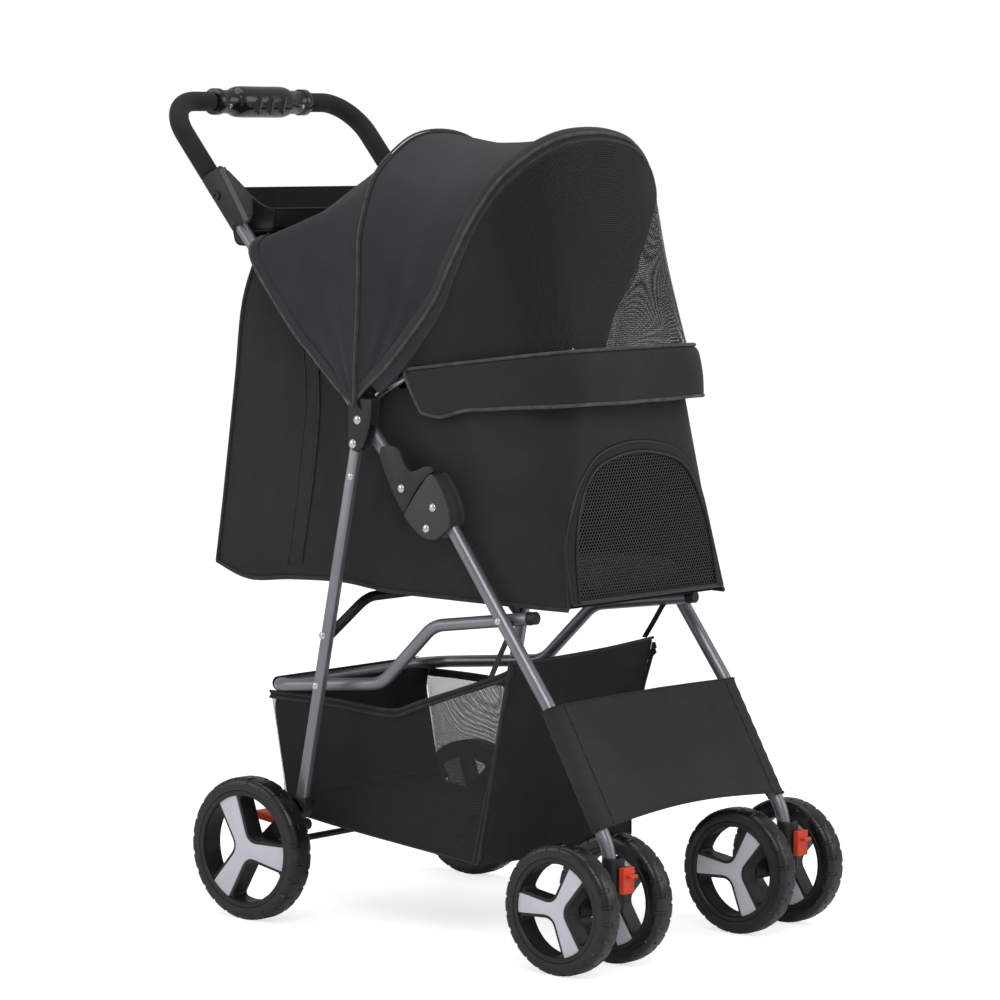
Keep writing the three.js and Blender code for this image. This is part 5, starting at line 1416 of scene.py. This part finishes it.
def make_cabin():
    pieces = []
    for name, sign in SIDES:
        side = make_sheet(f"cabin_side_{name}", cabin_side(sign), 90, 46, cabin_cloth)
        pieces.append(settle(side, "link_frame", "cabin_fabric"))
    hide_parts("cabin_shell")
    rear_at = side_line(CABIN_REAR, 6)

    def rear_wall(u, v):
        place = rear_at(v)
        swell = hump(u, 0.55) * hump(v, 0.6)
        place.x -= 0.016 * swell - ripple(Vector((0, mix(-3, 3, u), v * 2)), 2.0, 0.003, 21) * swell
        place.y = mix(-CABIN_HALF, CABIN_HALF, u)
        return place

    wall = make_sheet("cabin_rear_wall", rear_wall, 40, 50, cabin_cloth)
    pieces.append(settle(wall, "link_frame", "cabin_fabric"))
    hem_at = side_line(CABIN_HEM, 6)

    def floor(u, v):
        place = hem_at(v)
        sign = 1 if u > 0.5 else -1
        radius = corner_radius(CABIN_LOW, sign)
        past = min(max(place.x - SHIFT - (front_x(CABIN_LOW) - radius), 0.0), radius)
        half = CABIN_HALF - 0.0005 - radius + math.sqrt(radius ** 2 - past ** 2)
        place.y = mix(-half, half, u)
        place.z += 0.0015
        return place

    base = make_sheet("cabin_base", floor, 30, 50, cabin_cloth)
    settle(base, "link_frame", "cabin_fabric")
    zip_at = line_of(door_line(DOOR_ZIP, 0.0009))
    heights = [mix(CABIN_LOW, CABIN_HIGH, k / 16) for k in range(17)]
    edges = [(-CABIN_HALF + 0.2 * corner_radius(z, -1), z) for z in heights]
    edges += [(CABIN_HALF - 0.2 * corner_radius(z, 1), z) for z in heights[::-1]]
    edge_at = line_of([Vector((0, y, z)) for y, z in edges])
    flat_zip_at = line_of(smooth_line([Vector((0, y, z)) for y, z in mirrored(DOOR_ZIP)], 6))

    def front_wall(u, v):
        flat = flat_zip_at(u).lerp(edge_at(u), v)
        place = front_place(flat.y, flat.z, 0.0009)
        place.x += (ripple(place, 12, 0.0022, 31) + 0.002) * hump(v) * (1 - (flat.y / CABIN_HALF) ** 4)
        return place

    front = make_sheet("cabin_front_wall", front_wall, 72, 12, cabin_cloth)
    pieces.append(settle(front, "link_frame", "cabin_fabric", "cabin_front"))
    net_line = door_line(DOOR_NET, 0.0015)
    net_at = line_of(net_line)

    def door_border(u, v):
        place = net_at(u).lerp(zip_at(u), v)
        place.x += 0.0012 * hump(v)
        return place

    border = make_sheet("door_border", door_border, 72, 5, cabin_cloth)
    pieces.append(settle(border, "link_frame", "cabin_fabric"))
    sill = line_of([net_line[0], net_line[-1]])

    def door(u, v):
        place = sill(u).lerp(net_at(u), v)
        place.x += 0.004 * hump(u) * hump(v, 0.7)
        return place

    net = make_sheet("door_net", door, 40, 20, door_net, NET_WALL, 1,
                     lambda place: (place.y, place.z))
    pieces.append(settle(net, "link_frame", "window_mesh"))
    for piece in pieces:
        folds_down(piece)


def make_cabin_trim():
    rear = smooth_line([at(place, 0) for place in CABIN_REAR], 6)
    hem = smooth_line([at(place, 0) for place in CABIN_HEM], 6)
    for name, sign in SIDES:
        for part, line, radius in (("rear", rear, 0.0024), ("hem", hem, 0.0026)):
            points = [round_corner(p, sign, 0.1512) for p in line]
            folds_down(make_tape(f"cabin_{part}_piping_{name}", points, radius, dark_tape))
        surface = cabin_side(sign)
        edges = [side_line(places, 6) for places in (ZIP_BACK, ZIP_FRONT)]

        def strip(u, v):
            place = edges[0](v).lerp(edges[1](v), u)
            place = on_side(surface, place.x, place.z)
            place.y += sign * 0.0013
            return place

        band = make_sheet(f"zip_band_{name}", strip, 6, 40, zip_tape)
        folds_down(settle(band, "link_frame", "cabin_fabric"))
        for part, edge in (("rear", 0.0), ("front", 1.0)):
            points = [strip(edge, k / 40) + Vector((0, sign * 0.0006, 0)) for k in range(41)]
            folds_down(make_tape(f"zip_seam_{part}_{name}", points, 0.0009, dark_tape, 8))
        front = [round_corner(at((front_x(z), z), 0), sign, 0.1515)
                 for z in [mix(CABIN_LOW, CABIN_HIGH - 0.03, k / 30) for k in range(31)]]
        folds_down(make_tape(f"cabin_corner_seam_{name}", front, 0.0010, dark_tape, 8))
    for name, places, out in (("zip", DOOR_ZIP, 0.0010), ("net", DOOR_NET, 0.0028)):
        points = door_line(places, out)
        sill = [points[0], points[-1]]
        for part, line in (("piping", points), ("sill", sill)):
            folds_down(make_tape(f"door_{name}_{part}", line, 0.0022, gloss_tape, 12))


# Basket
BASKET_TOP = [(-0.238, 0.266), (-0.140, 0.266), (-0.045, 0.262), (0.0, 0.276), (0.126, 0.3205),
              (0.136, 0.334)]
BASKET_FLOOR = [(-0.212, 0.142), (-0.183, 0.121), (0.092, 0.094)]
BASKET_FRONT = [(0.092, 0.094), (0.107, 0.190), (0.136, 0.334)]
BASKET_REAR = [(-0.212, 0.142), (-0.238, 0.266)]
BASKET_HALF = 0.1430


def basket_side(sign):
    top, floor = side_line(BASKET_TOP, 5), side_line(BASKET_FLOOR, 5)
    rear, front = side_line(BASKET_REAR), side_line(BASKET_FRONT, 4)

    def surface(u, v):
        place = coons(floor, top, rear, front, u, v)
        slack = hump(u, 0.7) * hump(v, 0.8)
        inward = 0.007 * slack + ripple(place, 11, 0.004, 41 + sign) * slack
        inward += ease(u) * (0.012 * hump(v) + 0.016 * v) if sign > 0 else 0.004 * ease(u) * hump(v)
        place.y = sign * (BASKET_HALF - inward)
        return place

    return surface


def make_basket():
    pieces = []
    for name, sign in SIDES:
        side = make_sheet(f"basket_side_{name}", basket_side(sign), 70, 24, basket_net,
                          NET_WALL)
        pieces.append(settle(side, "link_frame", "window_mesh"))
    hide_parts("basket")
    near, far = basket_side(-1), basket_side(1)

    def front_wall(u, v):
        place = near(1.0, v).lerp(far(1.0, v), u)
        slack = hump(u, 0.8)
        place.x -= (0.010 * hump(v) + 0.004 * v) * slack - ripple(place, 9, 0.004, 51) * slack
        place.z += (0.006 * v * u - 0.004 * v * slack) - 0.006 * (1 - v) * slack
        return place

    def floor(u, v):
        place = near(v, 0.0).lerp(far(v, 0.0), u)
        place.z -= 0.006 * hump(u, 0.8) * ease(v * 1.3) - ripple(place, 10, 0.0025, 61) * hump(u) * hump(v)
        return place

    bar = at(LINK_REAR, 0)
    wrap = [at((-0.212, 0.142), 0), at((-0.233, 0.244), 0)]
    for step in range(11):
        turn = math.radians(mix(-15, -290, step / 10))
        wrap.append(bar + Vector((math.cos(turn), 0, math.sin(turn))) * 0.0092)
    wrap_at = line_of(wrap)

    def rear_wall(u, v):
        place = wrap_at(v)
        place.y = mix(-0.1415, 0.1415, u) * (0.93 if v > 0.8 else 1.0)
        slack = hump(u, 0.7) * hump(min(v / 0.8, 1))
        place.x += 0.006 * slack + ripple(place, 10, 0.004, 71) * slack
        return place

    for name, surface, columns, rows in (("front", front_wall, 30, 26), ("floor", floor, 30, 50),
                                         ("rear", rear_wall, 40, 30)):
        piece = make_sheet(f"basket_{name}", surface, columns, rows, basket_cloth)
        pieces.append(settle(piece, "link_frame", "cabin_fabric"))
    for piece in pieces:
        folds_basket(piece)
    for name, sign in SIDES:
        surface = basket_side(sign)
        out = Vector((0, sign * 0.0012, 0))
        lines = {"top": [surface(k / 60, 1.0) + out for k in range(61)],
                 "top_inner": [surface(k / 60, 1.0) + out + Vector((0, 0, -0.0066)) for k in range(61)],
                 "corner": [surface(1.0, k / 24) + out for k in range(25)],
                 "corner_inner": [surface(0.975, k / 24) + out for k in range(25)],
                 "foot": [surface(k / 60, 0.0) + out for k in range(61)]}
        for part, points in lines.items():
            radius = 0.0019 if part != "foot" else 0.0015
            folds_basket(make_tape(f"basket_{part}_tape_{name}", points, radius, dark_tape, 8))

        def top_tape(u, v):
            return surface(u, 1.0) + out + Vector((0, 0, -0.0070 * (1 - v)))

        def corner_tape(u, v):
            return surface(mix(0.972, 1.0, v), u) + out

        for part, shape in (("top", top_tape), ("corner", corner_tape)):
            tape = make_sheet(f"basket_{part}_band_{name}", shape, 60, 2, basket_cloth)
            folds_basket(settle(tape, "link_frame", "cabin_fabric"))
    foot = [at((-0.212, 0.142), mix(-0.143, 0.143, k / 10)) for k in range(11)]
    folds_basket(make_tape("basket_rear_foot_tape", foot, 0.0020, dark_tape, 8))
    edge = [front_wall(k / 30, 1.0) for k in range(31)]
    folds_basket(make_piping("basket_front_tape", edge, 0.0018, dark_tape, "link_frame", "cabin_fabric", 8))


def folds_basket(piece):
    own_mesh(piece)


# Top and foot of each strap, and how far out its foot stands
STRAPS = {"right": (((0.150, 0.386), (0.108, 0.314)), -0.1450),
          "left": (((0.138, 0.388), (0.120, 0.338)), 0.1300)}


def make_straps():
    """The two straps that hold the basket's front up to the link tube."""
    for name, sign in SIDES:
        (top, foot), y = STRAPS[name]
        width = 0.0085

        def surface(u, v):
            place = at(foot, y).lerp(at(top, sign * LINK_LINE), v)
            place.x += (u - 0.5) * width
            place.y += sign * (0.0012 * hump(v) + 0.0085 * ease((v - 0.75) * 4))
            return place

        strap = make_sheet(f"basket_strap_{name}", surface, 3, 14, dark_tape)
        settle(strap, "link_frame", "cabin_fabric", f"basket_hanger_{name}")
        folds_basket(strap)


# Front panel
def make_front_panel():
    """The bare sheet between the front legs, with a sleeve round each leg."""
    down = (at(FRONT_LEG_ANKLE, 0) - at(FRONT_LEG_KNEE, 0)).normalized()
    ahead = Vector((-down.z, 0, down.x))
    ring = 0.0100
    path = []
    for step in range(9):
        turn = math.radians(mix(-60, -270, step / 8))
        path.append(Vector((-TUBE_LINE + ring * math.cos(turn) * 1.0, ring * math.sin(turn), 0)))
    near = [Vector((p.x, p.y, 0)) for p in path]
    flat = [Vector((mix(-TUBE_LINE + 0.012, TUBE_LINE - 0.012, k / 14), ring, 0)) for k in range(15)]
    outline = near + flat + [Vector((-p.x, p.y, 0)) for p in near[::-1]]
    outline_at = line_of(outline)
    start, length = 0.006, 0.150

    def surface(u, v):
        step = outline_at(u)
        middle = hump((step.x + 0.150) / 0.300, 0.8) if abs(step.x) < 0.150 else 0.0
        lift = step.y - 0.0035 * middle * hump(v, 0.6)
        edge = min(abs(abs(step.x) - TUBE_LINE) / 0.05, 1)
        gather = (1 - edge) * math.sin(v * 58 + step.x * 40) * 0.0011
        lift += gather + ripple(Vector((step.x * 1.2, v * 0.4, 0)), 16, 0.0016, 81) * middle
        top = at(FRONT_LEG_KNEE, 0) + down * start
        pull = hump((step.x + 0.168) / 0.336) if abs(step.x) < 0.168 else 0.0
        reach = length * v - 0.010 * pull * v * v - 0.002 * pull * (1 - v)
        place = top + down * reach + ahead * lift
        place.y = step.x
        return place

    panel = make_sheet("front_panel", surface, 120, 24, panel_cloth)
    settle(panel, "front_frame", "cabin_fabric", "front_panel")
    for name, v in (("top", 0.0), ("foot", 1.0)):
        points = [surface(k / 90, v) + ahead * 0.0003 for k in range(91)]
        make_piping(f"front_panel_{name}_hem", points, 0.0011, panel_cloth, "front_frame", "cabin_fabric",
                    8)
    for name, sign in SIDES:
        share = next(k / 200 for k in range(200) if outline_at(k / 200).x > -TUBE_LINE + 0.013)
        share = share if sign < 0 else 1 - share
        points = [surface(share, k / 20) + ahead * 0.0010 for k in range(21)]
        make_piping(f"front_panel_seam_{name}", points, 0.0009, dark_tape, "front_frame", "cabin_fabric", 8)


# Floor pad
def make_floor_pad():
    """A stuffed mat on the cabin's board."""
    low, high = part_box("floor_pad")
    centre = (low + high) / 2
    size = high - low
    bm = bmesh.new()
    bmesh.ops.create_cube(bm, size=1, matrix=Matrix.Translation(centre)
                          @ Matrix.Diagonal((size.x - 0.006, size.y - 0.006, size.z * 0.62, 1)))
    bmesh.ops.bevel(bm, geom=list(bm.edges), offset=0.006, segments=3, profile=0.5, affect="EDGES",
                    material=-1)
    pad = finished("floor_pad", bm, pad_fleece, 80)
    grid = pad.modifiers.new("grid", "REMESH")
    grid.mode = "VOXEL"
    grid.voxel_size = 0.006
    bpy.context.view_layer.objects.active = pad
    pad.select_set(True)
    bpy.ops.object.modifier_apply(modifier="grid")
    cloth = pad.modifiers.new("cloth", "CLOTH")
    cloth.settings.quality = 5
    cloth.settings.use_pressure = True
    cloth.settings.uniform_pressure_force = 4
    cloth.settings.effector_weights.gravity = 0
    for frame_number in range(1, 21):
        bpy.context.scene.frame_set(frame_number)
    bpy.ops.object.modifier_apply(modifier="cloth")
    bpy.context.scene.frame_set(1)
    for vert in pad.data.vertices:
        vert.co.z = min(max(vert.co.z, low.z + 0.0002), high.z - 0.0004)
        vert.co.x = min(max(vert.co.x, low.x), high.x)
        vert.co.y = min(max(vert.co.y, low.y), high.y)
    smooth = pad.modifiers.new("smooth", "SUBSURF")
    smooth.levels = smooth.render_levels = 1
    pad.select_set(False)
    for polygon in pad.data.polygons:
        polygon.use_smooth = True
    settle(pad, "link_frame", "pad_fabric", "floor_pad")


make_handle_tube()
make_foam_grips()
make_centre_grip()
make_tray()
make_pivot_brackets()
make_latches()
make_rear_legs()
make_cross_tube()
make_rear_axle()
make_wheel_brackets()
make_front_legs()
make_casters()
make_wheels()
make_link_frame()
make_rim_hoop()
make_bows()
make_hood()
make_hood_piping()
make_window()
make_flap()
make_cabin()
make_cabin_trim()
make_basket()
make_straps()
make_front_panel()
make_floor_pad()

# Camera and studio
def make_camera():
    turn, pitch, roll = math.radians(39.444), math.radians(5.301), math.radians(0.617)
    target = Vector((-0.00015 + SHIFT, 0, 0.5047))
    back = Vector((math.sin(turn) * math.cos(pitch), -math.cos(turn) * math.cos(pitch), math.sin(pitch)))
    right = Vector((math.cos(turn), math.sin(turn), 0))
    up = back.cross(right)
    tilted_right = right * math.cos(roll) + up * math.sin(roll)
    tilted_up = up * math.cos(roll) - right * math.sin(roll)
    data = bpy.data.cameras.new("photo_camera")
    data.lens = 153.9
    data.sensor_width = 36
    data.clip_end = 60
    camera = bpy.data.objects.new("photo_camera", data)
    bpy.context.scene.collection.objects.link(camera)
    axes = Matrix((tilted_right, tilted_up, back)).transposed().to_4x4()
    camera.matrix_world = Matrix.Translation(target + back * 5.1077) @ axes
    bpy.context.scene.camera = camera
    return camera


def make_light(name, place, target, size, power, color=(1, 1, 1)):
    data = bpy.data.lights.new(name, "AREA")
    data.shape = "RECTANGLE"
    data.size, data.size_y = size
    data.energy = power
    data.color = color
    light = bpy.data.objects.new(name, data)
    bpy.context.scene.collection.objects.link(light)
    light.location = place
    light.rotation_euler = (Vector(target) - Vector(place)).to_track_quat("-Z", "Y").to_euler()
    return light


def make_world():
    """A soft sky for the light and plain white for what the camera sees past the floor."""
    world = bpy.data.worlds.new("studio")
    bpy.context.scene.world = world
    world.use_nodes = True
    tree = world.node_tree
    sky = tree.nodes["Background"]
    sky.inputs["Color"].default_value = (0.97, 0.98, 1, 1)
    sky.inputs["Strength"].default_value = 0.34
    backdrop = add_node(tree, "ShaderNodeBackground")
    backdrop.inputs["Color"].default_value = (1, 1, 1, 1)
    chosen = add_node(tree, "ShaderNodeMixShader")
    tree.links.new(add_node(tree, "ShaderNodeLightPath").outputs["Is Camera Ray"], chosen.inputs["Fac"])
    tree.links.new(sky.outputs["Background"], chosen.inputs[1])
    tree.links.new(backdrop.outputs["Background"], chosen.inputs[2])
    tree.links.new(chosen.outputs["Shader"], tree.nodes["World Output"].inputs["Surface"])


def make_floor():
    bm = bmesh.new()
    bmesh.ops.create_grid(bm, x_segments=1, y_segments=1, size=26)
    mesh = bpy.data.meshes.new("studio_floor")
    bm.to_mesh(mesh)
    bm.free()
    floor = bpy.data.objects.new("studio_floor", mesh)
    bpy.context.scene.collection.objects.link(floor)
    material, tree, shader = new_material("studio_floor", (0.95, 0.95, 0.95), 0.95)
    glow = add_node(tree, "ShaderNodeMapRange")
    glow.inputs["To Max"].default_value = 0.72
    tree.links.new(add_node(tree, "ShaderNodeLightPath").outputs["Is Camera Ray"], glow.inputs["Value"])
    shader.inputs["Emission Color"].default_value = (1, 1, 1, 1)
    tree.links.new(glow.outputs["Result"], shader.inputs["Emission Strength"])
    mesh.materials.append(material)
    return floor


bpy.context.scene.view_settings.view_transform = "Standard"
make_world()
lights = [
    make_light("key", (2.6, -2.6, 3.4), (0, 0, 0.5), (2.4, 2.0), 46),
    make_light("fill", (3.4, 2.6, 2.2), (0, 0, 0.5), (2.4, 2.4), 24),
    make_light("left_fill", (-2.6, -3.2, 1.6), (0, 0, 0.5), (2.2, 2.2), 18),
    make_light("top", (-0.5, 0, 4.2), (0, 0, 0.6), (3, 3), 30),
]
make_floor()
make_camera()
